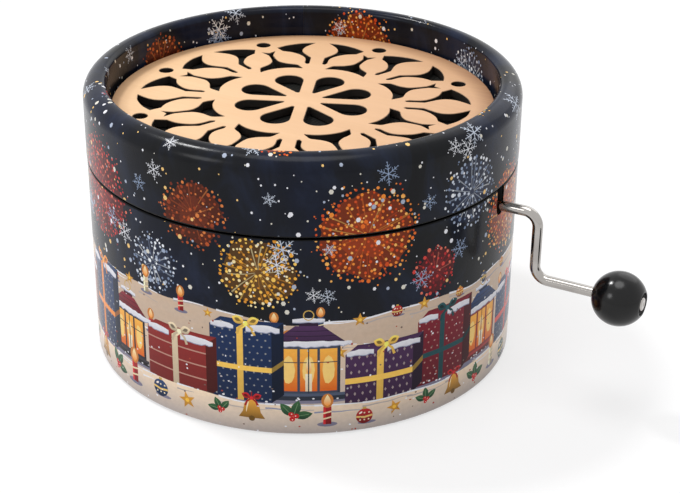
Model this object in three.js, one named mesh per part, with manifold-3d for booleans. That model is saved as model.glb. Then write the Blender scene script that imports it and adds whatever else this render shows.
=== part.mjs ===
// A round card music box with a lift-off lid, a pierced wooden rosette and a hand crank.
// Lengths are millimetres. The origin is the middle of the underside, +Z is up and +X runs
// along the crank shaft. At rest the lid is closed and the crank arm hangs straight down.

import * as THREE from 'three';
import { mergeVertices } from 'three/addons/utils/BufferGeometryUtils.js';
import Module from 'manifold-3d';

const wasm = await Module();
wasm.setup();

// Case: a base and a lid of board tube, both covered with printed paper
const caseHeight = 69.4;
const lidRadius = 52.5;
const lidOverhang = 0.1;
const lidHeight = 18.7;
const lidBoard = 2;
const partingGap = 0.3;
const paperThickness = 0.3;
const glueGap = 0.1;
const cornerRadius = 0.5;
const outerRimRadius = 4;
const innerRimRadius = 1.5;
const baseHemWidth = 1.6;
const neckBoard = 1.5;
const neckClearance = 0.3;
const neckHeadroom = 0.3;
const bottomCardThickness = 0.8;
const bottomCardInset = 1.4;
const baseBoardThickness = 2.5;
const boardGap = 0.3;
const spacerBoard = 1.5;
const deckThickness = 3;
const deckGap = 0.3;

// Recess in the lid with the rosette lying in it
const rimWidth = 5.6;
const recessDepth = 7.4;
const grilleGap = 0.8;
const grilleThickness = 2;
const ledgeThickness = 3;
const ledgeWidth = 2.5;
const linerPaperGap = 0.3;
const clothThickness = 0.3;
const clothGap = 0.3;

// Rosette: eight spokes, and a spray of three leaves on each
const spokeCount = 8;
const spokeWidth = 3.2;
const ringWidth = 5.3;
const rosetteTurn = THREE.MathUtils.degToRad(-0.4);
const tearTipRound = 0.4;
const pearlMargin = 6.3;
const pearlRadius = 1.8;

// Slot in the wall for the crank shaft, open at the top of the base
const slotWidth = 3.8;
const slotDrop = 2.4;
const slotReach = 4.4;

// Pinned cylinder and the worm gear that turns it
const noteCount = 18;
const notePitch = 1.08;
const cylinderRadius = 6.5;
const cylinderWall = 0.7;
const cylinderMargin = 0.9;
const cylinderFloorClearance = 1.3;
const pinHeight = 0.8;
const pinRadius = 0.28;
const pinSink = 0.3;
const pinsPerTrack = 4;
const capThickness = 1.2;
const fitGap = 0.1;
const arborRadius = 1;
const arborOverhang = 1.8;
const clipThickness = 0.6;
const clipWidth = 1.5;
const endPlay = 0.3;
const wheelTeeth = 16;
const wheelPitchRadius = 5.5;
const wheelWidth = 4;
const toothThickness = 0.95;
const toothAddendum = 0.6;
const toothDedendum = 0.8;
const wormPitchRadius = 2.5;
const threadThickness = 0.8;
const threadTurns = 4;

// Crank: a wire bent twice, with a ball on its end
const rodRadius = 1.25;
const rodInnerOverhang = 2.4;
const rodBendRadius = 3.4;
const armClearance = 9.5;
const armLength = 16.6;
const handleLength = 20.9;
const knobRadius = 6.4;
const knobBoreClearance = 0.12;
const counterboreRadius = 2.7;
const counterboreDepth = 0.9;
const peenRadius = 1.6;
const peenHeight = 0.8;

// Cast bedplate of the movement
const movementReach = 10;
const bedplateThickness = 2.5;
const bedplateMargin = 4;
const bedplateCorner = 3;
const uprightThickness = 2;
const uprightFootWidth = 11;
const uprightEyeWidth = 2.2;
const uprightClearance = 1;
const pedestalMargin = 0.5;

// Comb of tuned steel teeth
const combThickness = 1;
const combBaseLength = 9;
const combToothLength = 17;
const combTrebleToothLength = 10.5;
const combSlit = 0.28;
const combTipClearance = 0.25;
const combTipWidth = 0.5;
const weightCount = 9;
const weightLength = 3.2;
const weightDepth = 1.6;
const weightSetback = 3.5;

// Stamped bracket that carries the crank shaft in two flanged bushes
const bracketThickness = 1.2;
const bracketInnerWidth = 16.8;
const bracketFlangeDepth = 8;
const bracketEyeWidth = 3.4;
const bracketSetback = 1;
const bushWall = 0.9;
const bushFlangeWidth = 0.8;
const bushFlangeThickness = 0.6;

// Screws
const combScrew = { headRadius: 2.4, headHeight: 1.5, shankRadius: 1.3, length: 6 };
const bracketScrew = { headRadius: 1.9, headHeight: 1.2, shankRadius: 1, length: 3 };
const deckScrew = { headRadius: 2.6, headHeight: 1.6, shankRadius: 1.4, length: 5 };
const screwSlotWidth = 0.6;
const screwSlotDepth = 0.7;
const screwFloor = 0.5;

const overrun = 1;
const roundSides = 48;
const smallSides = 16;
const screwSides = 10;
const knobSides = 20;
const threadSteps = 12;
const eyeSteps = 6;
const rimSteps = 2;

// Heights from the top of the lid down to the sound deck, and radii from the outside in
const lidTop = caseHeight;
const lidBottom = lidTop - lidHeight;
const baseTop = lidBottom - partingGap;
const crankHeight = baseTop - slotReach;
const cylinderHeight = crankHeight - wormPitchRadius - wheelPitchRadius;
const pinnedRadius = cylinderRadius + pinHeight;
const bedplateTop = cylinderHeight - pinnedRadius - cylinderFloorClearance;
const deckTop = bedplateTop - bedplateThickness;
const deckBottom = deckTop - deckThickness;
const baseBoardTop = bottomCardThickness + baseBoardThickness;
const grilleTop = lidTop - recessDepth;
const grilleBottom = grilleTop - grilleThickness;
const ledgeBottom = grilleBottom - ledgeThickness;
const neckTop = ledgeBottom - neckHeadroom;

const skin = paperThickness + glueGap;
const baseRadius = lidRadius - lidOverhang;
const lidTubeRadius = lidRadius - skin;
const lidTubeBore = lidTubeRadius - lidBoard;
const neckRadius = lidTubeBore - neckClearance;
const neckBore = neckRadius - neckBoard;
const baseTubeRadius = baseRadius - skin;
const baseTubeBore = neckRadius + glueGap;
const spacerRadius = neckBore - glueGap;
const linerRadius = lidTubeBore - glueGap;
const recessRadius = lidRadius - rimWidth;
const linerBore = recessRadius + skin;
const outerRimCentre = lidRadius - outerRimRadius;
const innerRimCentre = recessRadius + innerRimRadius;
const grilleRadius = recessRadius - grilleGap;
const ledgeBore = grilleRadius - ledgeWidth;
const armReach = lidRadius + armClearance;
const knobCentreReach = armReach + handleLength;

const cylinderStart = wheelWidth / 2 + cylinderMargin + fitGap;
const combStart = cylinderStart + cylinderMargin;
const combWidth = noteCount * notePitch;
const cylinderEnd = combStart + combWidth + cylinderMargin;
const nearUprightFace = -wheelWidth / 2 - uprightClearance;
const farUprightFace = cylinderEnd + uprightClearance;
const combTips = movementReach - pinnedRadius - combTipClearance;
const combRoot = combTips - combToothLength;
const combBack = combRoot - combBaseLength;
const combBottom = cylinderHeight - combThickness / 2;
const bracketWidth = bracketInnerWidth + 2 * bracketThickness;
const bracketFront = nearUprightFace - uprightThickness - bracketSetback - bracketFlangeDepth;
const bushRadius = rodRadius + knobBoreClearance + bushWall;
const wormLead = (2 * Math.PI * wheelPitchRadius) / wheelTeeth;
const leadSlope = wormLead / (2 * Math.PI * wormPitchRadius);

// Joining and cutting of closed solids
function solidFrom(geometry) {
  const bare = geometry.clone();
  bare.deleteAttribute('normal');
  bare.deleteAttribute('uv');
  const merged = mergeVertices(bare);
  const corners = merged.index.array;
  const triangles = [];
  for (let i = 0; i < corners.length; i += 3) {
    const [a, b, c] = [corners[i], corners[i + 1], corners[i + 2]];
    if (a !== b && b !== c && c !== a) triangles.push(a, b, c);
  }
  const vertProperties = Float32Array.from(merged.attributes.position.array);
  const triVerts = Uint32Array.from(triangles);
  return new wasm.Manifold(new wasm.Mesh({ numProp: 3, vertProperties, triVerts }));
}

function geometryFrom(solid) {
  const mesh = solid.getMesh();
  const geometry = new THREE.BufferGeometry();
  geometry.setAttribute('position', new THREE.BufferAttribute(mesh.vertProperties, mesh.numProp));
  geometry.setIndex(new THREE.BufferAttribute(mesh.triVerts, 1));
  geometry.computeVertexNormals();
  return geometry;
}

function cut(geometry, ...tools) {
  return geometryFrom(tools.reduce((rest, tool) => rest.subtract(solidFrom(tool)), solidFrom(geometry)));
}

function join(geometry, ...others) {
  return geometryFrom(others.reduce((whole, other) => whole.add(solidFrom(other)), solidFrom(geometry)));
}

// Shapes that many pieces share
function revolve(path, sides = roundSides, arcSteps = 1) {
  const points = path.getPoints(arcSteps);
  if (points[0].x > 0) points.push(points[0].clone());
  return new THREE.LatheGeometry(points, sides).rotateX(Math.PI / 2);
}

function outline(points) {
  return new THREE.Path(points.map(([x, y]) => new THREE.Vector2(x, y)));
}

function tube(bore, radius, bottom, top, sides = roundSides) {
  return revolve(outline([[bore, bottom], [radius, bottom], [radius, top], [bore, top]]), sides);
}

function disc(radius, bottom, top, sides = roundSides) {
  return revolve(outline([[0, bottom], [radius, bottom], [radius, top], [0, top]]), sides);
}

function plate(shape, thickness, steps = 1, arcSteps = 4) {
  return new THREE.ExtrudeGeometry(shape, {
    depth: thickness, steps, bevelEnabled: false, curveSegments: arcSteps,
  });
}

function block(lowX, highX, lowY, highY, lowZ, highZ) {
  const box = new THREE.BoxGeometry(highX - lowX, highY - lowY, highZ - lowZ);
  return box.translate((lowX + highX) / 2, (lowY + highY) / 2, (lowZ + highZ) / 2);
}

function roundedRectangle(lowX, highX, lowY, highY, corner) {
  const shape = new THREE.Shape();
  shape.absarc(highX - corner, lowY + corner, corner, -Math.PI / 2, 0);
  shape.absarc(highX - corner, highY - corner, corner, 0, Math.PI / 2);
  shape.absarc(lowX + corner, highY - corner, corner, Math.PI / 2, Math.PI);
  shape.absarc(lowX + corner, lowY + corner, corner, Math.PI, Math.PI * 1.5);
  return shape;
}

function finish(color, roughness, metalness = 0) {
  return new THREE.MeshStandardMaterial({ color, roughness, metalness });
}

function piece(parent, name, geometry, material) {
  const mesh = new THREE.Mesh(geometry, material);
  mesh.name = name;
  parent.add(mesh);
  return mesh;
}

const finishes = {
  print: () => finish(0x2b2d38, 0.42),
  blackBoard: () => finish(0x1d1c1c, 0.8),
  greyBoard: () => finish(0x8a8378, 0.9),
  lime: () => finish(0xf2cfa0, 0.6),
  cloth: () => finish(0x0d0d0c, 0.95),
  zinc: () => finish(0x9a9c9e, 0.45, 0.8),
  steel: () => finish(0xb9bcc0, 0.3, 0.95),
  chrome: () => finish(0xd8dadd, 0.12, 1),
  brass: () => finish(0xc59a4a, 0.3, 0.9),
  ball: () => finish(0x0a0a0b, 0.18),
};

const musicBox = new THREE.Group();
const base = new THREE.Group();
const lid = new THREE.Group();
const cylinderGroup = new THREE.Group();
const crank = new THREE.Group();
const shaftPieces = new THREE.Group();
musicBox.add(base, lid, cylinderGroup, crank);
crank.add(shaftPieces);

// The cylinder's own pieces are turned about Z and then laid along +Y, the shaft's along +X
cylinderGroup.position.set(movementReach, 0, cylinderHeight);
cylinderGroup.rotation.x = -Math.PI / 2;
crank.position.z = crankHeight;
shaftPieces.rotation.y = Math.PI / 2;

// Base shell, bottom and sound deck
function wallSlot(top) {
  const halfWidth = slotWidth / 2;
  const low = crankHeight - slotDrop + halfWidth;
  const shape = new THREE.Shape();
  shape.absarc(0, low, halfWidth, Math.PI, 2 * Math.PI);
  shape.lineTo(halfWidth, top + overrun);
  shape.lineTo(-halfWidth, top + overrun);
  return plate(shape, lidRadius).rotateX(Math.PI / 2).rotateZ(Math.PI / 2);
}

function baseWrap() {
  const bottom = bottomCardThickness - skin;
  const inner = baseRadius - paperThickness;
  const hemTop = baseTop - paperThickness;
  const section = outline([
    [baseRadius - baseHemWidth, bottom], [baseRadius - cornerRadius, bottom],
    [baseRadius, bottom + cornerRadius], [baseRadius, baseTop - cornerRadius],
    [baseRadius - cornerRadius, baseTop], [baseTubeBore, baseTop], [baseTubeBore, hemTop],
    [inner, hemTop], [inner, bottom + paperThickness],
    [baseRadius - baseHemWidth, bottom + paperThickness],
  ]);
  return cut(revolve(section), wallSlot(baseTop));
}

const baseTubeTop = baseTop - skin;
const cardRadius = baseRadius - baseHemWidth - bottomCardInset;
piece(base, 'bottom_card', disc(cardRadius, 0, bottomCardThickness), finishes.blackBoard());
piece(base, 'base_board', disc(baseTubeBore - boardGap, bottomCardThickness, baseBoardTop),
  finishes.greyBoard());
piece(base, 'base_tube',
  cut(tube(baseTubeBore, baseTubeRadius, bottomCardThickness, baseTubeTop), wallSlot(baseTop)),
  finishes.blackBoard());
piece(base, 'base_wrap', baseWrap(), finishes.print());
piece(base, 'neck_tube', cut(tube(neckBore, neckRadius, baseBoardTop, neckTop), wallSlot(neckTop)),
  finishes.blackBoard());
piece(base, 'deck_spacer', tube(spacerRadius - spacerBoard, spacerRadius, baseBoardTop, deckBottom),
  finishes.greyBoard());

const bedplateLowX = combBack - bedplateMargin / 2;
const bedplateHighX = movementReach + bracketWidth / 2 + bedplateMargin / 2;
const bedplateLowY = bracketFront - bedplateMargin / 4;
const bedplateHighY = farUprightFace + uprightThickness + bedplateMargin / 4;
const deckScrewShares = [[0.1, 0.14], [0.93, 0.8], [0.36, 0.88]];
const deckScrewPlaces = deckScrewShares.map(([shareX, shareY]) => new THREE.Vector2(
  THREE.MathUtils.lerp(bedplateLowX, bedplateHighX, shareX),
  THREE.MathUtils.lerp(bedplateLowY, bedplateHighY, shareY),
));

function screwHoles(places, radius, bottom, top) {
  return places.map(({ x, y }) => disc(radius, bottom, top, screwSides).translate(x, y, 0));
}

piece(base, 'sound_deck', cut(disc(neckBore - deckGap, deckBottom, deckTop),
  ...screwHoles(deckScrewPlaces, deckScrew.shankRadius + fitGap, deckBottom - overrun, deckTop + overrun)),
finishes.lime());

// Screws: a domed head with a driver slot over a plain shank
function screw({ headRadius, headHeight, shankRadius, length }) {
  const crown = headHeight / 2;
  const body = revolve(outline([
    [0, -length], [shankRadius, -length], [shankRadius, 0], [headRadius, 0],
    [headRadius, crown], [headRadius - crown, headHeight], [0, headHeight],
  ]), screwSides);
  const driverSlot = block(-headRadius - overrun, headRadius + overrun, -screwSlotWidth / 2,
    screwSlotWidth / 2, headHeight - screwSlotDepth, headHeight + overrun);
  return cut(body, driverSlot);
}

deckScrewPlaces.forEach(({ x, y }, index) => {
  const mesh = piece(base, `deck_screw_${index + 1}`, screw(deckScrew).rotateX(Math.PI), finishes.steel());
  mesh.position.set(x, y, deckBottom);
});

// Bedplate with the comb pedestal and the two uprights that carry the cylinder arbor
function upright(face) {
  const rise = cylinderHeight - bedplateTop;
  const eyeRadius = arborRadius + uprightEyeWidth;
  const shape = new THREE.Shape();
  shape.moveTo(-uprightFootWidth / 2, -bedplateThickness / 2);
  shape.lineTo(uprightFootWidth / 2, -bedplateThickness / 2);
  shape.absarc(0, rise, eyeRadius, 0, Math.PI);
  const eye = new THREE.Path().absarc(0, rise, arborRadius + fitGap, 0, 2 * Math.PI, true);
  shape.holes.push(eye);
  const standing = plate(shape, uprightThickness, 1, eyeSteps).rotateX(Math.PI / 2);
  return standing.translate(movementReach, face, bedplateTop);
}

const combScrewX = combBack + combBaseLength / 2;
const combScrewShares = [0.22, 0.78];
const combScrewPlaces = combScrewShares.map(
  (share) => new THREE.Vector2(combScrewX, combStart + share * combWidth),
);
const bracketScrewY = bracketFront + bracketFlangeDepth / 2;
const bracketScrewShares = [-0.26, 0.26];
const bracketScrewPlaces = bracketScrewShares.map(
  (share) => new THREE.Vector2(movementReach + share * bracketWidth, bracketScrewY),
);

function bedplate() {
  const floor = plate(roundedRectangle(bedplateLowX, bedplateHighX, bedplateLowY, bedplateHighY,
    bedplateCorner), bedplateThickness).translate(0, 0, deckTop);
  const pedestal = block(combBack - pedestalMargin, combRoot, combStart - pedestalMargin,
    combStart + combWidth + pedestalMargin, deckTop + bedplateThickness / 2, combBottom);
  const cast = join(floor, pedestal, upright(nearUprightFace), upright(farUprightFace + uprightThickness));
  const combHoles = screwHoles(combScrewPlaces, combScrew.shankRadius + fitGap,
    combBottom - combScrew.length - screwFloor, combBottom + overrun);
  const bracketHoles = screwHoles(bracketScrewPlaces, bracketScrew.shankRadius + fitGap,
    deckTop - overrun, bedplateTop + overrun);
  const deckHoles = screwHoles(deckScrewPlaces, deckScrew.shankRadius + fitGap,
    deckTop - overrun, bedplateTop + overrun);
  return cut(cast, ...combHoles, ...bracketHoles, ...deckHoles);
}

piece(base, 'bedplate', bedplate(), finishes.zinc());

// Comb: the bass teeth are the longest and carry tuning weights on their undersides
function comb() {
  const slitDepth = (index) => THREE.MathUtils.lerp(combToothLength, combTrebleToothLength,
    index / noteCount);
  const shape = new THREE.Shape();
  shape.moveTo(combBack, combStart);
  for (let index = 0; index < noteCount; index += 1) {
    const middle = combStart + (index + 0.5) * notePitch;
    const side = (notePitch - combSlit) / 2;
    shape.lineTo(combTips - slitDepth(index), middle - side);
    shape.lineTo(combTips, middle - combTipWidth / 2);
    shape.lineTo(combTips, middle + combTipWidth / 2);
    shape.lineTo(combTips - slitDepth(index), middle + side);
  }
  shape.lineTo(combBack, combStart + combWidth);
  const steel = plate(shape, combThickness).translate(0, 0, combBottom);
  const weights = [];
  for (let index = 0; index < weightCount; index += 1) {
    const share = 1 - index / weightCount;
    const middle = combStart + (index + 0.5) * notePitch;
    const front = combTips - weightSetback;
    const halfWidth = combTipWidth / 2;
    weights.push(block(front - weightLength * share, front, middle - halfWidth, middle + halfWidth,
      combBottom - weightDepth * share, combBottom + combThickness / 2));
  }
  const holes = screwHoles(combScrewPlaces, combScrew.shankRadius + fitGap, combBottom - overrun,
    combBottom + combThickness + overrun);
  return cut(join(steel, ...weights), ...holes);
}

piece(base, 'comb', comb(), finishes.steel());
combScrewPlaces.forEach(({ x, y }, index) => {
  const mesh = piece(base, `comb_screw_${index + 1}`, screw(combScrew), finishes.steel());
  mesh.position.set(x, y, combBottom + combThickness);
});

// Bracket: a flange on the bedplate and two cheeks that hold the shaft over the worm wheel
function crankBracket() {
  const rise = crankHeight - bedplateTop;
  const shape = new THREE.Shape();
  shape.moveTo(bracketFront, 0);
  shape.lineTo(bracketEyeWidth, 0);
  shape.absarc(0, rise, bracketEyeWidth, 0, Math.PI);
  shape.lineTo(bracketFront, bracketFlangeDepth / 2);
  const eye = new THREE.Path().absarc(0, rise, bushRadius + fitGap, 0, 2 * Math.PI, true);
  shape.holes.push(eye);
  const cheek = () => plate(shape, bracketThickness, 1, eyeSteps)
    .rotateX(Math.PI / 2).rotateZ(Math.PI / 2);
  const lowX = movementReach - bracketWidth / 2;
  const highX = movementReach + bracketWidth / 2;
  const flange = block(lowX + bracketThickness / 2, highX - bracketThickness / 2, bracketFront,
    bracketFront + bracketFlangeDepth, 0, bracketThickness);
  const bent = join(flange, cheek().translate(lowX, 0, 0),
    cheek().translate(highX - bracketThickness, 0, 0));
  const holes = screwHoles(bracketScrewPlaces, bracketScrew.shankRadius + fitGap, -overrun,
    bracketThickness + overrun);
  return cut(bent, ...holes).translate(0, 0, bedplateTop);
}

piece(base, 'crank_bracket', crankBracket(), finishes.zinc());
bracketScrewPlaces.forEach(({ x, y }, index) => {
  const mesh = piece(base, `bracket_screw_${index + 1}`, screw(bracketScrew), finishes.steel());
  mesh.position.set(x, y, bedplateTop + bracketThickness);
});

function bush() {
  const bore = rodRadius + knobBoreClearance;
  const flangeRadius = bushRadius + bushFlangeWidth;
  return revolve(outline([
    [bore, 0], [flangeRadius, 0], [flangeRadius, bushFlangeThickness],
    [bushRadius, bushFlangeThickness], [bushRadius, bushFlangeThickness + glueGap + bracketThickness],
    [bore, bushFlangeThickness + glueGap + bracketThickness],
  ]), smallSides);
}

const innerCheekFace = movementReach - bracketInnerWidth / 2;
const outerCheekFace = movementReach + bracketInnerWidth / 2;
const bushInset = bushFlangeThickness + glueGap;
const innerBush = piece(base, 'crank_bush_inner', bush().rotateY(-Math.PI / 2), finishes.brass());
innerBush.position.set(innerCheekFace + bushInset, 0, crankHeight);
const outerBush = piece(base, 'crank_bush_outer', bush().rotateY(Math.PI / 2), finishes.brass());
outerBush.position.set(outerCheekFace - bushInset, 0, crankHeight);

// Pinned cylinder, its end caps, arbor and retaining clip
function cylinder() {
  const shell = solidFrom(tube(cylinderRadius - cylinderWall, cylinderRadius, cylinderStart, cylinderEnd,
    2 * smallSides));
  const pins = [];
  for (let track = 0; track < noteCount; track += 1) {
    for (let pin = 0; pin < pinsPerTrack; pin += 1) {
      const angle = 2 * Math.PI * (pin / pinsPerTrack + track * track / (noteCount * pinsPerTrack));
      const spike = new THREE.ConeGeometry(pinRadius, pinHeight + pinSink, 4)
        .translate(0, (pinHeight + pinSink) / 2 + cylinderRadius - pinSink, 0)
        .rotateZ(angle)
        .translate(0, 0, combStart + (track + 0.5) * notePitch);
      pins.push(solidFrom(spike));
    }
  }
  return geometryFrom(pins.reduce((whole, pin) => whole.add(pin), shell));
}

const capRadius = cylinderRadius - cylinderWall - fitGap;
const arborBore = arborRadius + fitGap;
const arborStart = nearUprightFace - uprightThickness - arborOverhang;
const arborEnd = farUprightFace + uprightThickness + arborOverhang;
const clipStart = farUprightFace + uprightThickness + endPlay;
piece(cylinderGroup, 'pinned_cylinder', cylinder(), finishes.brass());
piece(cylinderGroup, 'cylinder_cap_near',
  tube(arborBore, capRadius, cylinderStart, cylinderStart + capThickness, smallSides), finishes.brass());
piece(cylinderGroup, 'cylinder_cap_far',
  tube(arborBore, capRadius, cylinderEnd - capThickness, cylinderEnd, smallSides), finishes.brass());
piece(cylinderGroup, 'cylinder_arbor', disc(arborRadius, arborStart, arborEnd, smallSides), finishes.steel());
piece(cylinderGroup, 'arbor_clip',
  tube(arborBore, arborBore + clipWidth, clipStart, clipStart + clipThickness, smallSides),
  finishes.steel());

// Worm wheel: the teeth lean with the thread of the worm above them
function wormWheel() {
  const pitch = (2 * Math.PI) / wheelTeeth;
  const tipRadius = wheelPitchRadius + toothAddendum;
  const rootRadius = wheelPitchRadius - toothDedendum;
  const halfPitchAngle = toothThickness / wheelPitchRadius / 2;
  const slope = toothThickness / (toothAddendum + toothDedendum) / 4;
  const tipAngle = (halfPitchAngle * wheelPitchRadius - slope * toothAddendum) / tipRadius;
  const rootAngle = (halfPitchAngle * wheelPitchRadius + slope * toothDedendum) / rootRadius;
  const shape = new THREE.Shape();
  const corner = (radius, angle) => [radius * Math.cos(angle), radius * Math.sin(angle)];
  for (let tooth = 0; tooth < wheelTeeth; tooth += 1) {
    const middle = (tooth + 0.5) * pitch - Math.PI / 2;
    const points = [
      corner(rootRadius, middle - rootAngle), corner(tipRadius, middle - tipAngle),
      corner(tipRadius, middle + tipAngle), corner(rootRadius, middle + rootAngle),
    ];
    if (tooth === 0) shape.moveTo(...points.shift());
    points.forEach((point) => shape.lineTo(...point));
  }
  shape.holes.push(new THREE.Path().absarc(0, 0, arborBore, 0, 2 * Math.PI, true));
  const wheel = plate(shape, wheelWidth, 2, smallSides / 2).translate(0, 0, -wheelWidth / 2);
  const places = wheel.attributes.position;
  const corners = new THREE.Vector3();
  for (let i = 0; i < places.count; i += 1) {
    corners.fromBufferAttribute(places, i);
    corners.applyAxisAngle(new THREE.Vector3(0, 0, 1),
      (corners.z * leadSlope) / wheelPitchRadius);
    places.setXYZ(i, corners.x, corners.y, corners.z);
  }
  return wheel;
}

piece(cylinderGroup, 'worm_wheel', wormWheel(), finishes.brass());

// Worm: a thread wound round a core that fills the bracket between its bushes
function worm() {
  const threadLength = threadTurns * wormLead;
  const coreLength = bracketInnerWidth - 2 * (bushInset + endPlay);
  const rootRadius = wormPitchRadius - toothAddendum;
  const crestRadius = wormPitchRadius + toothAddendum;
  const rootHalf = threadThickness / 2 + threadThickness / 8;
  const crestHalf = threadThickness / 2 - threadThickness / 8;
  const core = tube(rodRadius + fitGap, rootRadius, -coreLength / 2, coreLength / 2, threadSteps);
  const section = new THREE.Shape(outline([
    [(rootRadius + rodRadius + fitGap) / 2, -rootHalf], [crestRadius, -crestHalf],
    [crestRadius, crestHalf], [(rootRadius + rodRadius + fitGap) / 2, rootHalf],
  ]).getPoints());
  const steps = threadTurns * threadSteps;
  const thread = plate(section, threadLength, steps).translate(0, 0, -threadLength / 2);
  const places = thread.attributes.position;
  for (let i = 0; i < places.count; i += 1) {
    const [reach, across, along] = [places.getX(i), places.getY(i), places.getZ(i)];
    const angle = (2 * Math.PI * along) / wormLead;
    places.setXYZ(i, reach * Math.cos(angle), reach * Math.sin(angle), along - across);
  }
  return join(core, thread);
}

const wormMesh = piece(shaftPieces, 'worm', worm(), finishes.steel());
wormMesh.position.z = movementReach;

// Crank wire: two bends between the shaft, the arm and the handle, and a peened end
class BentWire extends THREE.Curve {
  constructor(stations) {
    super();
    this.stations = stations;
  }

  getPoint(t, target = new THREE.Vector3()) {
    const along = THREE.MathUtils.clamp(t, 0, 1) * (this.stations.length - 1);
    const first = Math.min(Math.floor(along), this.stations.length - 2);
    return target.lerpVectors(this.stations[first], this.stations[first + 1], along - first);
  }

  getUtoTmapping(u) {
    return u;
  }
}

const knobInnerFace = -Math.sqrt(knobRadius ** 2 - (rodRadius + knobBoreClearance) ** 2);
const counterboreMouth = Math.sqrt(knobRadius ** 2 - counterboreRadius ** 2);
const counterboreFloor = counterboreMouth - counterboreDepth;

function crankRod() {
  const start = innerCheekFace - bracketThickness - rodInnerOverhang;
  const end = knobCentreReach + counterboreFloor + glueGap;
  const bendSteps = 5;
  const stations = [new THREE.Vector3(start, 0, 0)];
  for (let step = 0; step <= bendSteps; step += 1) {
    const angle = (step / bendSteps) * (Math.PI / 2);
    stations.push(new THREE.Vector3(armReach - rodBendRadius + rodBendRadius * Math.sin(angle), 0,
      rodBendRadius * (Math.cos(angle) - 1)));
  }
  for (let step = 0; step <= bendSteps; step += 1) {
    const angle = (step / bendSteps) * (Math.PI / 2);
    stations.push(new THREE.Vector3(armReach + rodBendRadius * (1 - Math.cos(angle)), 0,
      rodBendRadius * (1 - Math.sin(angle)) - armLength));
  }
  stations.push(new THREE.Vector3(end, 0, -armLength));
  const section = new THREE.Shape().absarc(0, 0, rodRadius, 0, 2 * Math.PI);
  const wire = new THREE.ExtrudeGeometry(section, {
    steps: stations.length - 1, curveSegments: eyeSteps, extrudePath: new BentWire(stations),
  });
  const peen = revolve(outline([
    [0, -glueGap], [rodRadius, -glueGap], [rodRadius, 0], [peenRadius, 0],
    [peenRadius, peenHeight / 2], [peenRadius / 2, peenHeight], [0, peenHeight],
  ]), smallSides).rotateY(Math.PI / 2);
  return join(wire, peen.translate(end, 0, -armLength));
}

piece(crank, 'crank_rod', crankRod(), finishes.chrome());
const clipMesh = piece(shaftPieces, 'rod_clip',
  tube(rodRadius + fitGap, rodRadius + fitGap + clipWidth, -clipThickness, 0, smallSides),
  finishes.steel());
clipMesh.position.z = innerCheekFace - bracketThickness - endPlay;

// Ball knob, bored through and counterbored at its outer end
function crankKnob() {
  const bore = rodRadius + knobBoreClearance;
  const profile = new THREE.Path();
  profile.absarc(0, 0, knobRadius, Math.atan2(knobInnerFace, bore),
    Math.atan2(counterboreMouth, counterboreRadius));
  profile.lineTo(counterboreRadius, counterboreFloor);
  profile.lineTo(bore, counterboreFloor);
  return revolve(profile, knobSides, knobSides / 4);
}

const knob = piece(shaftPieces, 'crank_knob', crankKnob(), finishes.ball());
knob.position.set(armLength, 0, knobCentreReach);

// Lid shell with its rounded rim, liner, ledge and backing cloth
function lidWrap() {
  const profile = new THREE.Path();
  const recessPaperBottom = grilleBottom + linerPaperGap;
  profile.moveTo(lidTubeBore, lidBottom);
  profile.lineTo(lidRadius - cornerRadius, lidBottom);
  profile.lineTo(lidRadius, lidBottom + cornerRadius);
  profile.absarc(outerRimCentre, lidTop - outerRimRadius, outerRimRadius, 0, Math.PI / 2);
  profile.absarc(innerRimCentre, lidTop - innerRimRadius, innerRimRadius, Math.PI / 2, Math.PI);
  profile.lineTo(recessRadius, recessPaperBottom);
  profile.lineTo(recessRadius + paperThickness, recessPaperBottom);
  profile.absarc(innerRimCentre, lidTop - innerRimRadius, innerRimRadius - paperThickness,
    Math.PI, Math.PI / 2, true);
  profile.absarc(outerRimCentre, lidTop - outerRimRadius, outerRimRadius - paperThickness,
    Math.PI / 2, 0, true);
  profile.lineTo(lidRadius - paperThickness, lidBottom + paperThickness);
  profile.lineTo(lidTubeBore, lidBottom + paperThickness);
  return revolve(profile, roundSides, rimSteps);
}

// Both tubes are rounded at the top, where the paper runs over the rim
function lidTube() {
  const round = outerRimRadius - skin;
  const profile = new THREE.Path();
  profile.moveTo(lidTubeBore, lidBottom + skin);
  profile.lineTo(lidTubeRadius, lidBottom + skin);
  profile.absarc(outerRimCentre, lidTop - outerRimRadius, round, 0,
    Math.acos((lidTubeBore - outerRimCentre) / round));
  return revolve(profile);
}

function lidLiner() {
  const round = outerRimRadius - skin;
  const profile = new THREE.Path();
  profile.moveTo(linerBore, grilleBottom);
  profile.lineTo(linerRadius, grilleBottom);
  profile.absarc(outerRimCentre, lidTop - outerRimRadius, round,
    Math.acos((linerRadius - outerRimCentre) / round), Math.PI / 2);
  profile.absarc(innerRimCentre, lidTop - innerRimRadius, innerRimRadius - skin,
    Math.PI / 2, Math.PI);
  return revolve(profile);
}

piece(lid, 'lid_tube', lidTube(), finishes.greyBoard());
piece(lid, 'lid_liner', lidLiner(), finishes.greyBoard());
piece(lid, 'lid_wrap', lidWrap(), finishes.print());
piece(lid, 'grille_ledge', tube(ledgeBore, linerRadius, ledgeBottom, grilleBottom),
  finishes.blackBoard());
piece(lid, 'grille_cloth',
  disc(ledgeBore - clothGap, grilleBottom - clothGap - clothThickness, grilleBottom - clothGap),
  finishes.cloth());

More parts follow.
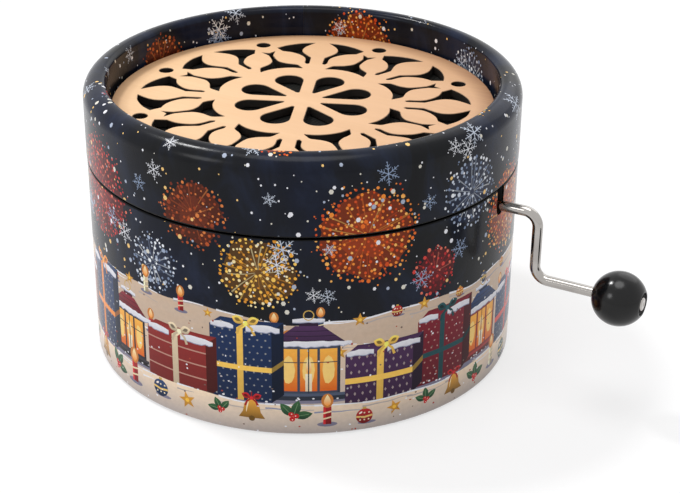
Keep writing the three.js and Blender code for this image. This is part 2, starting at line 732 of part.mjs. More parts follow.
// Rosette cut-outs. Angles are shares of half a spoke pitch, radii are shares of the grille.
// Each run is a smooth stretch, and two runs meet in a corner.
const leafGapShares = [
  [[0.115, 0.875], [0.342, 0.866], [0.6, 0.837], [0.795, 0.803]],
  [[0.795, 0.803], [0.715, 0.746]],
  [[0.715, 0.746], [0.542, 0.72], [0.4, 0.683], [0.3, 0.643], [0.267, 0.604], [0.284, 0.556]],
  [[0.284, 0.556], [0.235, 0.534], [0.173, 0.541]],
  [[0.173, 0.541], [0.156, 0.635]],
  [[0.156, 0.635], [0.227, 0.664], [0.32, 0.712], [0.342, 0.752], [0.3, 0.797], [0.213, 0.837],
    [0.115, 0.875]],
];
const ringShare = 0.481;
const ringGapShares = [
  [[0, ringShare], [0.173, 0.48], [0.4, 0.475], [0.66, 0.463]],
  [[0.66, 0.463], [0.6, 0.488], [0.516, 0.52], [0.4, 0.533], [0.227, 0.552], [0.084, 0.588],
    [0.045, 0.635], [0.04, 0.688]],
  [[0.04, 0.688], [0.072, 0.712], [0.13, 0.75]],
  [[0.13, 0.75], [0, 0.726]],
];
const smoothShare = 1.2;
const tearSteps = 4;
const pearlSteps = 5;

// One side of a cut-out: points of its runs, with the angle counted to the given side of a spoke
function cutOutSide(runs, axisAngle, side) {
  const halfPitch = Math.PI / spokeCount;
  const points = [];
  runs.forEach((run) => {
    const corners = run.map(([angleShare, radiusShare]) => {
      const angle = axisAngle + side * angleShare * halfPitch;
      const radius = radiusShare * grilleRadius;
      return new THREE.Vector2(radius * Math.cos(angle), radius * Math.sin(angle));
    });
    const steps = corners.length > 2 ? Math.ceil((corners.length - 1) * smoothShare) : 1;
    points.push(...new THREE.SplineCurve(corners).getPoints(steps).slice(0, -1));
  });
  return points;
}

// A drop between two spokes: both its round ends touch the spokes' straight sides
function tearDrop(axisAngle) {
  const lean = Math.PI / spokeCount;
  const spread = Math.sin(lean);
  const ringBore = ringShare * grilleRadius - ringWidth;
  const endCentre = (ringBore + spokeWidth / 2) / (1 + spread);
  const tipCentre = (tearTipRound + spokeWidth / 2) / spread;
  const shape = new THREE.Path();
  shape.absarc(endCentre, 0, ringBore - endCentre, -Math.PI / 2 - lean, Math.PI / 2 + lean);
  shape.absarc(tipCentre, 0, tearTipRound, Math.PI / 2 + lean, 1.5 * Math.PI - lean);
  return new THREE.Path(shape.getPoints(tearSteps)
    .map((point) => point.rotateAround(new THREE.Vector2(), axisAngle)));
}

function grille() {
  const pitch = (2 * Math.PI) / spokeCount;
  const pearlRingRadius = grilleRadius - pearlMargin;
  const shape = new THREE.Shape().absarc(0, 0, grilleRadius, 0, 2 * Math.PI);
  const disk = new THREE.Shape(shape.getPoints(roundSides / 2));
  for (let spoke = 0; spoke < spokeCount; spoke += 1) {
    const gapAxis = rosetteTurn + spoke * pitch;
    const spokeAxis = gapAxis + pitch / 2;
    [-1, 1].forEach((side) => {
      disk.holes.push(new THREE.Path(cutOutSide(leafGapShares, spokeAxis, side)));
    });
    const left = cutOutSide(ringGapShares, gapAxis, 1);
    const right = cutOutSide(ringGapShares, gapAxis, -1).slice(1).reverse();
    const notch = ringGapShares[ringGapShares.length - 1][1][1] * grilleRadius;
    const fork = new THREE.Vector2(notch * Math.cos(gapAxis), notch * Math.sin(gapAxis));
    disk.holes.push(new THREE.Path([...left, fork, ...right]));
    disk.holes.push(tearDrop(gapAxis));
    const pearl = new THREE.Path().absarc(pearlRingRadius * Math.cos(gapAxis),
      pearlRingRadius * Math.sin(gapAxis), pearlRadius, 0, 2 * Math.PI);
    disk.holes.push(new THREE.Path(pearl.getPoints(pearlSteps)));
  }
  return plate(disk, grilleThickness).translate(0, 0, grilleBottom);
}

piece(lid, 'grille', grille(), finishes.lime());

export default musicBox;
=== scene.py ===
import bpy
import math
import random
import numpy as np
from mathutils import Matrix, Vector
from mathutils.geometry import delaunay_2d_cdt


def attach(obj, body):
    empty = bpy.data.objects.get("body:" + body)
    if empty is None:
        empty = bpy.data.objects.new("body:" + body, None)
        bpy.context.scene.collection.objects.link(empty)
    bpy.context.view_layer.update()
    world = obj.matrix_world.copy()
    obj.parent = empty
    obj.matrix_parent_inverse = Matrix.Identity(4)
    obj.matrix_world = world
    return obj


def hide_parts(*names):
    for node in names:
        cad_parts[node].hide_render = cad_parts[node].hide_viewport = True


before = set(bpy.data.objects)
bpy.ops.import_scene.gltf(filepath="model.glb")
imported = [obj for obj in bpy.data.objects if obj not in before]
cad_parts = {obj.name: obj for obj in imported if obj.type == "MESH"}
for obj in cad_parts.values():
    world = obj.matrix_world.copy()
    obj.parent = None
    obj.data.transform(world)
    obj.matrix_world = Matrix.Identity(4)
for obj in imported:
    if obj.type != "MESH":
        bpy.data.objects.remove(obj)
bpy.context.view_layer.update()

mm = 0.001
edit = bpy.ops.mesh
print("frame loaded:", len(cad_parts), "nodes")


class Flow:
    # one output of a shader node, which adds and multiplies like a number
    def __init__(self, recipe, socket):
        self.recipe = recipe
        self.socket = socket

    def math(self, operation, other, swapped=False):
        first, second = (other, self) if swapped else (self, other)
        return self.recipe.node("Math", {"operation": operation}, {0: first, 1: second})

    def __add__(self, other):
        return self.math("ADD", other)

    __radd__ = __add__

    def __sub__(self, other):
        return self.math("SUBTRACT", other)

    def __rsub__(self, other):
        return self.math("SUBTRACT", other, swapped=True)

    def __mul__(self, other):
        return self.math("MULTIPLY", other)

    __rmul__ = __mul__

    def between(self, low, high):
        # 0 up to low, 1 from high on, straight in between
        return ((self - low) * (1.0 / (high - low))).math("MAXIMUM", 0.0).math("MINIMUM", 1.0)


class Recipe:
    # a material or a world made node by node
    def __init__(self, name, tree=None):
        if tree is None:
            self.material = bpy.data.materials.new(name)
            self.material.use_nodes = True
            tree = self.material.node_tree
        self.tree = tree
        self.tree.nodes.clear()

    def node(self, kind, settings=None, values=None, output=0):
        node = self.tree.nodes.new("ShaderNode" + kind)
        for key, value in (settings or {}).items():
            setattr(node, key, value)
        for key, value in (values or {}).items():
            if isinstance(value, Flow):
                self.tree.links.new(value.socket, node.inputs[key])
            else:
                node.inputs[key].default_value = value
        return Flow(self, node.outputs[output]) if node.outputs else node

    def blend(self, factor, first, second, mode="MIX"):
        return self.node("Mix", {"data_type": "RGBA", "blend_type": mode, "clamp_result": True},
                         {0: factor, 6: first, 7: second}, 2)

    def place(self, scale=(1, 1, 1), turn=(0, 0, 0)):
        source = self.node("TexCoord", output="Object")
        return self.node("Mapping", None, {"Vector": source, "Rotation": turn, "Scale": scale})

    def onSheet(self, scale=(1, 1, 1)):
        source = self.node("UVMap", {"uv_map": "Sheet"})
        return self.node("Mapping", None, {"Vector": source, "Scale": scale})

    def cloud(self, where, scale, detail=3.0, rough=0.5, warp=0.0):
        return self.node("TexNoise", None, {"Vector": where, "Scale": scale, "Detail": detail,
                                            "Roughness": rough, "Distortion": warp})

    def cells(self, where, scale, settings=None):
        return self.node("TexVoronoi", settings, {"Vector": where, "Scale": scale})

    def bump(self, height, distance, strength=1.0, under=None):
        values = {"Height": height, "Distance": distance, "Strength": strength}
        if under is not None:
            values["Normal"] = under
        return self.node("Bump", None, values)

    def plainRays(self):
        # 1 for rays that come from the camera, off a mirror or through glass
        names = ("Is Camera Ray", "Is Glossy Ray", "Is Transmission Ray")
        camera, glossy, clear = [self.node("LightPath", output=name) for name in names]
        return camera.math("MAXIMUM", glossy).math("MAXIMUM", clear)

    def surface(self, values):
        body = self.node("BsdfPrincipled", None, values)
        self.node("OutputMaterial", None, {"Surface": body})
        return self.material


def tone(red, green, blue):
    # a colour written from 0 to 255 becomes the linear one that the renderer takes
    shares = [value / 255 for value in (red, green, blue)]
    return (*[s / 12.92 if s <= 0.04045 else ((s + 0.055) / 1.055) ** 2.4 for s in shares], 1.0)


def added(name, data):
    thing = bpy.data.objects.new(name, data)
    bpy.context.scene.collection.objects.link(thing)
    return thing


def chosen(piece):
    bpy.ops.object.select_all(action="DESELECT")
    piece.select_set(True)
    bpy.context.view_layer.objects.active = piece


def joined(reach=0.002):
    # starts editing with everything selected and points that coincide merged
    bpy.ops.object.mode_set(mode="EDIT")
    edit.select_all(action="SELECT")
    edit.remove_doubles(threshold=reach * mm)


def smoothed(angle):
    bpy.ops.object.mode_set(mode="OBJECT")
    bpy.ops.object.shade_smooth_by_angle(angle=math.radians(angle))


def modified(piece, kind, **settings):
    chosen(piece)
    change = piece.modifiers.new("change", kind)
    for key, value in settings.items():
        setattr(change, key, value)
    bpy.ops.object.modifier_apply(modifier=change.name)


def carried(piece, body, slotName, *nodes):
    if nodes:
        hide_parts(*nodes)
    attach(piece, body)
    return piece


# Camera, floor and lights
view = {
    "place": (0.176476, -0.313194, 0.205203),
    "turn": (63.0206, -0.5238, 28.2008),
    "lens": 84.483,
    "sensor": 36.0,
}
camera = added("photoCamera", bpy.data.cameras.new("photoCamera"))
camera.data.lens = view["lens"]
camera.data.sensor_width = view["sensor"]
camera.data.sensor_fit = "HORIZONTAL"
camera.data.clip_start = 0.01
camera.location = view["place"]
camera.rotation_euler = [math.radians(angle) for angle in view["turn"]]
bpy.context.scene.camera = camera
bpy.context.scene.view_settings.view_transform = "Standard"

light = {
    "skyLevel": 0.44,
    "floorSize": 6.0,
    "floorTone": (232, 232, 233),
    "floorGlow": 0.55,
    "floorLevel": 1.16,
    "lamps": [
        # name, place, size, power
        ("keySoft", (-0.47, 0.02, 0.86), 0.13, 4.0),
        ("overheadSoft", (0.02, -0.07, 1.05), 0.6, 3.6),
        ("frontSoft", (-0.36, -0.8, 0.5), 0.3, 1.3),
        ("backSoft", (0.1, 0.8, 0.6), 0.8, 1.2),
    ],
    "aim": (0.0, 0.0, 0.035),
}
white = (1, 1, 1, 1)
world = bpy.data.worlds.new("studio")
bpy.context.scene.world = world
world.use_nodes = True
sky = Recipe("studio", world.node_tree)
soft = sky.node("Background", None, {"Color": white, "Strength": light["skyLevel"]})
plain = sky.node("Background", None, {"Color": white, "Strength": 1.0})
shown = sky.node("MixShader", None, {0: sky.plainRays(), 1: soft, 2: plain})
sky.node("OutputWorld", None, {"Surface": shown})

floorPaper = Recipe("floorPaper")
matte = floorPaper.node("BsdfDiffuse", None, {"Color": tone(*light["floorTone"])})
glow = floorPaper.node("Emission", None, {"Color": white, "Strength": light["floorLevel"]})
shown = floorPaper.node("MixShader", None, {0: floorPaper.plainRays() * light["floorGlow"],
                                            1: matte, 2: glow})
floorPaper.node("OutputMaterial", None, {"Surface": shown})

bpy.ops.object.select_all(action="DESELECT")
edit.primitive_plane_add(size=light["floorSize"])
floor = bpy.context.object
floor.name = "floor"
floor.data.materials.append(floorPaper.material)
for name, place, size, power in light["lamps"]:
    lamp = added(name, bpy.data.lights.new(name, "AREA"))
    lamp.data.shape = "DISK"
    lamp.data.size = size
    lamp.data.energy = power
    lamp.location = place
    lamp.rotation_euler = (Vector(light["aim"]) - Vector(place)).to_track_quat("-Z", "Y").to_euler()
print("camera, floor and lights ready")


# Finishes
def printedPaper():
    made = Recipe("printedPaper")
    ink = made.node("VertexColor", {"layer_name": "ink"})
    kind = made.node("VertexColor", {"layer_name": "ink"}, output="Alpha")
    night = kind.between(0.8, 0.95)
    snow = kind.between(0.45, 0.6) * (1 - night)
    wall = made.onSheet()
    brush = made.cloud(made.onSheet((1, 0.45, 1)), 95, 4, 0.6, 0.6)
    patch = made.cloud(made.onSheet((1, 0.6, 1)), 38, 3, 0.5, 0.4)
    fine = made.cloud(wall, 900, 3, 0.6)
    streak = made.cloud(made.onSheet((0.35, 1.6, 1)), 260, 3, 0.6, 0.5)
    nightTone = made.blend(patch.between(0.42, 0.68), tone(24, 25, 28), tone(18, 26, 48))
    nightTone = made.blend(brush.between(0.5, 0.8) * 0.7, nightTone, tone(40, 50, 74))
    nightTone = made.blend(brush.between(0.5, 0.2) * 0.6, nightTone, tone(11, 11, 14))
    snowTone = made.blend(streak.between(0.45, 0.75) * 0.4, ink, tone(206, 188, 174))
    painted = made.blend(night, ink, nightTone)
    painted = made.blend(snow, painted, snowTone)
    grain = made.node("CombineColor", None, {key: 0.8 + 0.4 * fine for key in ("Red", "Green", "Blue")})
    painted = made.blend(0.55, painted, grain, "MULTIPLY")
    scuff = made.cloud(made.place(), 60, 4, 0.6)
    fibre = made.cloud(wall, 1400, 2, 0.6)
    # the paper puckers where it goes down into the lid's recess
    pleat = made.cloud(made.onSheet((1, 0.12, 1)), 190, 2, 0.5)
    inside = made.node("SeparateXYZ", None, {"Vector": wall}, 1).between(0.0755, 0.078)
    relief = made.bump(fibre, 0.00003, 0.35)
    relief = made.bump(pleat * inside, 0.0006, 0.5, relief)
    return made.surface({"Base Color": painted, "Roughness": 0.16 + 0.08 * scuff, "Normal": relief,
                         "Specular IOR Level": 0.12})


def cardBoard(name, base, fleck, dark):
    made = Recipe(name)
    pulp = made.cloud(made.place(), 420, 4, 0.65)
    hair = made.cells(made.place((1, 1, 3)), 900, {"feature": "DISTANCE_TO_EDGE"})
    colour = made.blend(pulp.between(0.35, 0.7), tone(*base), tone(*fleck))
    colour = made.blend(hair.between(0.06, 0.0) * 0.5, colour, tone(*dark))
    return made.surface({"Base Color": colour, "Roughness": 0.72 + 0.16 * pulp,
                         "Normal": made.bump(pulp, 0.00006, 0.5)})


def limeWood():
    made = Recipe("limeWood")
    grain = (0, 0, 0.35)
    broad = made.cloud(made.place((0.09, 1, 1), grain), 130, 4, 0.55, 0.7)
    fine = made.cloud(made.place((0.05, 1, 1), grain), 1500, 3, 0.6)
    pores = made.cells(made.place((0.06, 1, 1), grain), 2400)
    colour = made.blend(broad.between(0.3, 0.7), tone(243, 203, 158), tone(234, 193, 148))
    # painted shade: a little darker towards one side, where less light falls, and darker near the disc's
    # edge, where the recess wall shades it
    side = made.node("SeparateXYZ", None, {"Vector": made.place(turn=(0, 0, -0.49))}, 0)
    shadedSideTone = made.blend(1.0, colour, tone(216, 202, 200), "MULTIPLY")
    colour = made.blend(side.between(-0.05, 0.05), colour, shadedSideTone)
    # painted shade towards the disc's edge, under the recess wall
    out = made.node("VectorMath", {"operation": "LENGTH"}, {0: made.place((1, 1, 0))}, 1)
    edgeShadeTone = made.blend(1.0, colour, tone(146, 114, 90), "MULTIPLY")
    colour = made.blend(out.between(0.0414, 0.0462) * 0.65, colour, edgeShadeTone)
    colour = made.blend(fine.between(0.45, 0.8) * 0.35, colour, tone(222, 180, 130))
    colour = made.blend(pores.between(0.14, 0.02) * 0.25, colour, tone(190, 146, 98))
    burnt = made.node("VertexColor", {"layer_name": "burn"})
    soot = made.cloud(made.place(), 700, 3, 0.6)
    char = made.blend(soot.between(0.3, 0.7), tone(15, 12, 9), tone(30, 21, 14))
    colour = made.blend(burnt, colour, char)
    relief = made.bump(fine * 0.6 + broad * 0.4, 0.00004, 0.4)
    return made.surface({"Base Color": colour, "Roughness": 0.48 + 0.14 * fine, "Normal": relief,
                         "Coat Weight": 0.08, "Coat Roughness": 0.4})


def blackCloth():
    made = Recipe("blackCloth")
    across, along = [
        made.node("TexWave", {"wave_type": "BANDS", "bands_direction": axis},
                  {"Vector": made.place(), "Scale": 330.0, "Distortion": 0.4}) for axis in "XY"]
    weave = across * along
    lint = made.cloud(made.place(), 300, 4, 0.6)
    colour = made.blend(weave, tone(9, 9, 8), tone(26, 25, 20))
    colour = made.blend(lint.between(0.62, 0.8) * 0.3, colour, tone(44, 42, 38))
    return made.surface({"Base Color": colour, "Roughness": 0.86 + 0.1 * lint,
                         "Normal": made.bump(weave, 0.00012, 0.8), "Specular IOR Level": 0.2})


def metal(name, light, dark, rough, scale=(1, 1, 1), mark=500, relief=0.00002, spots=None):
    made = Recipe(name)
    rub = made.cloud(made.place(scale), mark, 4, 0.6)
    cloudy = made.cloud(made.place(), 140, 3, 0.5)
    colour = made.blend(cloudy.between(0.3, 0.75), tone(*light), tone(*dark))
    if spots:
        pits = made.cells(made.place(), spots)
        colour = made.blend(pits.between(0.2, 0.02) * 0.4, colour, tone(*shade(dark, 0.6)))
    return made.surface({"Base Color": colour, "Metallic": 1.0,
                         "Roughness": rough + 0.14 * (rub - 0.5),
                         "Normal": made.bump(rub, relief, 0.4)})


def blackBall():
    made = Recipe("blackBall")
    swirl = made.cloud(made.place(), 120, 3, 0.5)
    haze = made.cloud(made.place(), 700, 4, 0.6)
    colour = made.blend(swirl.between(0.3, 0.8), tone(7, 7, 8), tone(12, 12, 13))
    return made.surface({"Base Color": colour, "Roughness": 0.16 + 0.12 * haze.between(0.4, 0.8),
                         "Normal": made.bump(haze, 0.00001, 0.2), "Specular IOR Level": 0.32})


def mixed(first, second, share):
    return tuple(a + (b - a) * share for a, b in zip(first, second))


def shade(colour, share):
    return tuple(value * share for value in colour)


finish = {
    "printed_paper": printedPaper(),
    "black_board": cardBoard("blackBoard", (20, 20, 21), (30, 30, 31), (10, 10, 11)),
    "grey_board": cardBoard("greyBoard", (148, 142, 132), (172, 166, 155), (104, 98, 90)),
    "lime_wood": limeWood(),
    "backing_cloth": blackCloth(),
    "cast_zinc": metal("castZinc", (176, 178, 180), (138, 140, 143), 0.42, mark=900, relief=0.00008,
                       spots=700),
    "comb_steel": metal("combSteel", (196, 198, 201), (158, 160, 165), 0.26, (1, 0.06, 1), 1600),
    "screw_steel": metal("screwSteel", (205, 205, 206), (168, 168, 170), 0.3, mark=1500),
    "bracket_steel": metal("bracketSteel", (190, 191, 194), (150, 151, 156), 0.33, (1, 0.1, 1), 900),
    "brass": metal("brass", (226, 190, 112), (196, 154, 82), 0.27, mark=900),
    "chrome_wire": metal("chromeWire", (182, 178, 174), (156, 152, 148), 0.1, (0.15, 1, 1), 500, 0.000005),
    "black_ball": blackBall(),
}
print("finishes made:", len(finish))


# The printed picture: flat shapes laid one over the other, in millimetres.
# x runs around the case from the side that faces the photograph, h up its wall and over the rim.
case = {
    "around": 2 * math.pi * 52.4,
    "radius": 52.4,
    "front": math.radians(-60.6),
    "seam": 0.03,
    "grid": 2.4,
    "strips": 40,
    "paper": 0.3,
    # longest edge of a shape, and how far past a sheet its shapes are looked at
    "longest": 3.0,
    "past": 0.2,
}
# kinds of ink, which the finish tells apart by the colour's alpha
nightInk, bankInk, snowInk, glowInk, flatInk, brightInk = 1.0, 0.6, 0.5, 0.45, 0.3, 0.1
tones = {
    # the glow behind a burst, and its sparks
    "gold": ((88, 60, 30), [(255, 206, 98), (248, 178, 62), (255, 234, 176), (226, 150, 50)]),
    "orange": ((122, 48, 22), [(240, 116, 42), (250, 148, 58), (216, 80, 32), (255, 186, 96)]),
    "crimson": ((88, 26, 30), [(198, 42, 46), (222, 70, 62), (152, 32, 42), (236, 120, 96)]),
    "rust": ((86, 38, 24), [(158, 68, 36), (190, 88, 44), (120, 50, 32), (226, 132, 70)]),
    "silver": ((40, 46, 64), [(208, 216, 230), (164, 178, 202), (242, 246, 252), (124, 140, 170)]),
}
fireworks = [
    # x, h, size, tones, arms
    (-79, 46, 7.2, "gold", 16), (-58, 50, 12.0, "crimson", 26), (-37, 38.5, 6.4, "silver", 14),
    (-25, 54, 7.6, "rust", 18), (-10, 42, 8.6, "gold", 20), (14, 50.5, 11.2, "orange", 26),
    (31.5, 38, 5.6, "crimson", 14), (42, 54.5, 8.2, "silver", 18), (60, 44, 10.2, "orange", 24),
    (79, 54, 7.0, "crimson", 16), (92, 42.5, 9.4, "rust", 22), (109, 55, 7.0, "gold", 16),
    (123, 43, 9.8, "crimson", 24), (140, 55, 7.4, "silver", 16), (155, 42, 8.6, "orange", 20),
    (-146, 53, 9.0, "rust", 20), (-130, 41, 6.6, "gold", 16), (-113, 52, 10.6, "orange", 24),
    (-95, 40, 7.0, "crimson", 16), (-6, 77, 6.4, "orange", 16), (-66, 77.5, 4.8, "crimson", 14),
    (52, 77, 5.0, "gold", 14), (148, 83.2, 10.2, "orange", 24), (-118, 83, 8.2, "rust", 18),
    (106, 83.4, 8.4, "silver", 18),
]
snowWhite, shadeBlue, groundShade = (240, 240, 246), (142, 150, 178), (126, 124, 146)
winter = {
    "sky": (36, 37, 42),
    # how many small things are strewn, between which heights, and in which sizes and colours
    "crystals": 64,
    "crystalSpan": (35, 82),
    "crystalSizes": (1.3, 3.6),
    "crystalTones": [(196, 204, 218), (150, 168, 198), (228, 230, 236)],
    "flakes": 1050,
    "flakeSpan": (30, 86),
    "flakeSizes": [0.14, 0.17, 0.2, 0.24, 0.3, 0.42, 0.56],
    "flakeTones": [snowWhite, snowWhite, (226, 222, 210), (176, 186, 206), (250, 206, 130)],
    "specks": 400,
    "speckSpan": (0.6, 31),
    "speckSizes": [(0.16, 0.34), (0.14, 0.28)],
    "speckTones": [snowWhite, snowWhite, (196, 190, 194), (120, 100, 92), (168, 66, 48)],
    # banks of snow: level, swing, crest, foot, seed
    "farBank": (30.5, 1.1, (214, 188, 164), (180, 164, 152), 5),
    "middleBank": (22.5, 1.0, (236, 208, 180), (172, 166, 172), 8),
    "nearBank": (8.2, 0.6, (255, 230, 200), (164, 160, 166), 12),
    "bankFoot": -1.5,
    "bankStep": 1.6,
    # level and swing of the row of parcels and lanterns, and how deep a parcel is
    "rowLevel": (8.6, 1.1),
    "parcelDeep": 4.6,
    # a dark band where the lid meets the base: partly the paper's dark edge, partly painted shade of the gap
    # and of the lid on the base
    "partingShadeBand": (50.1, 51.2),
    "partingShadeTone": (9, 9, 10),
}
gilt, cream, pearl = (206, 170, 92), (226, 206, 174), (240, 226, 196)
navy, slate, plum, deepBlue = (34, 56, 96), (66, 74, 92), (70, 44, 78), (30, 48, 84)
wine, teal, brick, char, rose = (118, 30, 44), (36, 80, 86), (146, 66, 44), (50, 46, 52), (136, 46, 44)
yellow, amber, scarlet = (255, 206, 98), (250, 148, 58), (222, 70, 62)
row = [
    # width, height, then a parcel's paper, ribbon and pattern, or a lantern's body and roof
    (15.5, 13.5, wine, yellow, "dots"), (12.6, 23.5, navy, char), (14.2, 18.5, teal, cream, "stars"),
    (16.4, 13.0, slate, scarlet, "diamonds"), (14.0, 21.5, plum, brick),
    (15.2, 16.0, brick, yellow, "stripes"), (14.0, 20.0, navy, amber, "stars"), (12.0, 20.5, char, wine),
    (16.8, 14.0, rose, (228, 208, 176), "stripes"), (14.6, 18.8, deepBlue, yellow, "dots"),
    (14.4, 23.8, slate, plum), (16.6, 13.4, plum, yellow, "diamonds"), (14.2, 17.2, wine, teal, "dots"),
    (12.8, 21.0, rose, navy), (16.0, 14.8, navy, scarlet, "stars"), (13.8, 19.0, brick, cream, "diamonds"),
    (13.4, 24.0, teal, char), (16.6, 13.6, char, yellow, "stars"), (14.4, 17.6, plum, amber, "stripes"),
    (12.4, 20.8, deepBlue, brick), (15.8, 14.6, wine, yellow, "diamonds"),
]
patterns = {
    # half width, half height and corners of each mark
    "dots": [(0.24, 0.24, 6)], "diamonds": [(0.3, 0.5, 4)], "stars": [(0.42, 0.14, 4), (0.14, 0.42, 4)],
    "stripes": [],
}


def rotated(x, y, angle):
    cos, sin = math.cos(angle), math.sin(angle)
    return x * cos - y * sin, x * sin + y * cos


def polar(radius, angle):
    return radius * math.cos(angle), radius * math.sin(angle)


class Painting:
    def __init__(self, seed):
        self.chance = random.Random(seed)
        self.shapes = []
        self.at(0, 0)

    def at(self, x, h, size=1.0):
        # what follows is drawn from this place on, in units of this size
        self.x, self.h, self.size = x, h, size
        return self

    def shape(self, points, colour, ink=flatInk):
        # colour is one colour, or a pair: the lowest point's and the highest point's
        points = [(self.x + x * self.size, self.h + h * self.size) for x, h in points]
        low, high = colour if isinstance(colour[0], tuple) else (colour, colour)
        heights = [h for _, h in points]
        rest = tone(*low), tone(*high), min(heights), max(heights), ink
        self.shapes.append((points, *rest))
        # what runs past the seam comes in again on its other side
        half = case["around"] / 2
        turn = -2 * half if max(x for x, _ in points) > half else 2 * half
        if max(abs(x) for x, _ in points) > half and ink != bankInk:
            self.shapes.append(([(x + turn, h) for x, h in points], *rest))

    def box(self, lowX, lowH, highX, highH, colour, ink=flatInk, lean=0.0):
        self.shape([(lowX, lowH), (highX, lowH), (highX + lean, highH), (lowX + lean, highH)], colour, ink)

    def blob(self, x, h, wide, tall, colour, sides=6, wobble=0.0, turn=0.0, ink=flatInk):
        phases = [self.chance.uniform(0, 6.283) for _ in range(3)]
        points = []
        for side in range(sides):
            angle = 2 * math.pi * side / sides
            swell = 1 + wobble * sum(math.sin(k * angle + p) for k, p in zip((3, 5, 8), phases)) / 2
            dx, dh = rotated(wide * swell * math.cos(angle), tall * swell * math.sin(angle), turn)
            points.append((x + dx, h + dh))
        self.shape(points, colour, ink)

    def stroke(self, points, width, colour, endWidth=None, ink=flatInk):
        endWidth = width if endWidth is None else endWidth
        left, right = [], []
        last = len(points) - 1
        for index, (x, h) in enumerate(points):
            before, after = points[max(index - 1, 0)], points[min(index + 1, last)]
            dx, dh = after[0] - before[0], after[1] - before[1]
            half = (width + (endWidth - width) * index / last) / 2 / math.hypot(dx, dh)
            left.append((x - dh * half, h + dx * half))
            right.append((x + dh * half, h - dx * half))
        self.shape(left + right[::-1], colour, ink)

    def leaf(self, x, h, length, width, angle, colour, ink=flatInk, fullness=0.5):
        # a pointed leaf or flame, from its foot along the angle
        points = []
        for side in (1, -1):
            for step in range(7):
                along = step / 7 if side == 1 else 1 - step / 7
                out = side * width / 2 * math.sin(math.pi * along ** (fullness * 2)) ** 0.9
                dx, dh = rotated(along * length, out, angle)
                points.append((x + dx, h + dh))
        self.shape(points, colour, ink)

    def firework(self, size, glow, sparks, arms):
        chance = self.chance
        for lobe in range(9):
            angle = 2 * math.pi * (lobe + chance.uniform(-0.3, 0.3)) / 9
            part = size * chance.uniform(0.34, 0.46)
            self.blob(*polar(size * 0.56, angle), part, part, glow, 18, 0.12, 0, glowInk)
        self.blob(0, 0, size * 0.7, size * 0.7, glow, 30, 0.06, chance.uniform(0, 3), glowInk)
        self.blob(0, 0, size * 0.5, size * 0.48, shade(glow, 1.25), 26, 0.16, chance.uniform(0, 3), glowInk)
        for arm in range(arms):
            angle = 2 * math.pi * (arm + chance.uniform(-0.25, 0.25)) / arms
            reach, bend = size * chance.uniform(0.72, 1.0), chance.uniform(-0.16, 0.16)
            points = [polar(reach * s, angle + bend * s) for s in (0.1, 0.4, 0.7, 1.0)]
            self.stroke(points, 0.14, shade(chance.choice(sparks), 0.72), 0.34)
        rings = max(3, round(size / 1.3))
        for ring in range(1, rings + 1):
            count = int(ring * 6.2)
            for spot in range(count):
                angle = 2 * math.pi * (spot + chance.uniform(-0.3, 0.3)) / count + ring
                out = size * (ring + chance.uniform(-0.35, 0.35)) / rings
                dot = chance.uniform(0.2, 0.4) * (1.4 if chance.random() < 0.14 else 1)
                self.blob(*polar(out, angle), dot, dot * 1.1, chance.choice(sparks), 6, 0,
                          chance.uniform(0, 1))
        for _ in range(int(size * 2)):
            angle, out = chance.uniform(0, 6.283), size * chance.uniform(1.02, 1.22)
            dot = chance.uniform(0.14, 0.3)
            self.blob(*polar(out, angle), dot, dot, chance.choice(sparks))

    def crystal(self, colour, turn):
        width = max(0.16 / self.size, 0.085)
        for arm in range(6):
            angle = turn + math.pi * arm / 3
            self.stroke([(0, 0), polar(1, angle)], width, colour, width * 0.7)
            for share, part in ((0.42, 0.34), (0.7, 0.24)):
                x, h = polar(share, angle)
                for lean in (0.95, -0.95):
                    dx, dh = polar(part, angle + lean)
                    self.stroke([(x, h), (x + dx, h + dh)], width * 0.8, colour, width * 0.5)
            self.blob(*polar(1.08, angle), width * 0.75, width * 0.75, colour)

    def drift(self, level, swing, crest, foot, seed):
        # a bank of snow all the way round, with a lit crest
        chance = random.Random(seed)
        waves = [(k, chance.uniform(0, 6.283), chance.uniform(0.5, 1) / k ** 0.5) for k in (3, 5, 8, 13, 21)]
        half, step, bottom = case["around"] / 2, winter["bankStep"], winter["bankFoot"]

        def height(x):
            return level + swing * sum(a * math.sin(math.pi * k * x / half + p) for k, p, a in waves)
        self.at(0, 0)
        xs = [-half - 1 + step * k for k in range(int((2 * half + 2) / step) + 2)]
        self.shape([(x, height(x)) for x in xs] + [(xs[-1], bottom), (xs[0], bottom)], (foot, crest), bankInk)
        for k in range(0, len(xs) - 9, 7):
            run = xs[k:k + chance.randint(4, 9)]
            fall = chance.uniform(0.35, 2.4)
            self.stroke([(x, height(x) - fall - 0.1 * math.sin(x)) for x in run], 0.42,
                        chance.choice([shadeBlue, (188, 176, 172), snowWhite]), 0.1, snowInk)
            self.stroke([(x, height(x) + 0.02) for x in run], 0.5, snowWhite, 0.2, snowInk)
        return height

    def cap(self, low, high, h, thick, drip):
        # snow lying on an edge, lumpy below and round above
        chance = self.chance
        # the little extra keeps a whole number of lumps whole
        count = max(5, int((high - low) / 0.9 + 1e-9))
        shares = [k / count for k in range(count + 1)]
        top = [(low + (high - low) * s,
                h + thick * (0.55 + 0.45 * math.sin(math.pi * s)) + chance.uniform(-0.1, 0.12))
               for s in shares]
        under = [(low + (high - low) * s, h - drip * chance.uniform(0.15, 1)) for s in shares]
        self.shape([(x, y - 0.22) for x, y in under] + top[::-1], (shadeBlue, (214, 216, 230)), snowInk)
        self.shape(under + top[::-1], ((222, 222, 232), snowWhite), snowInk)

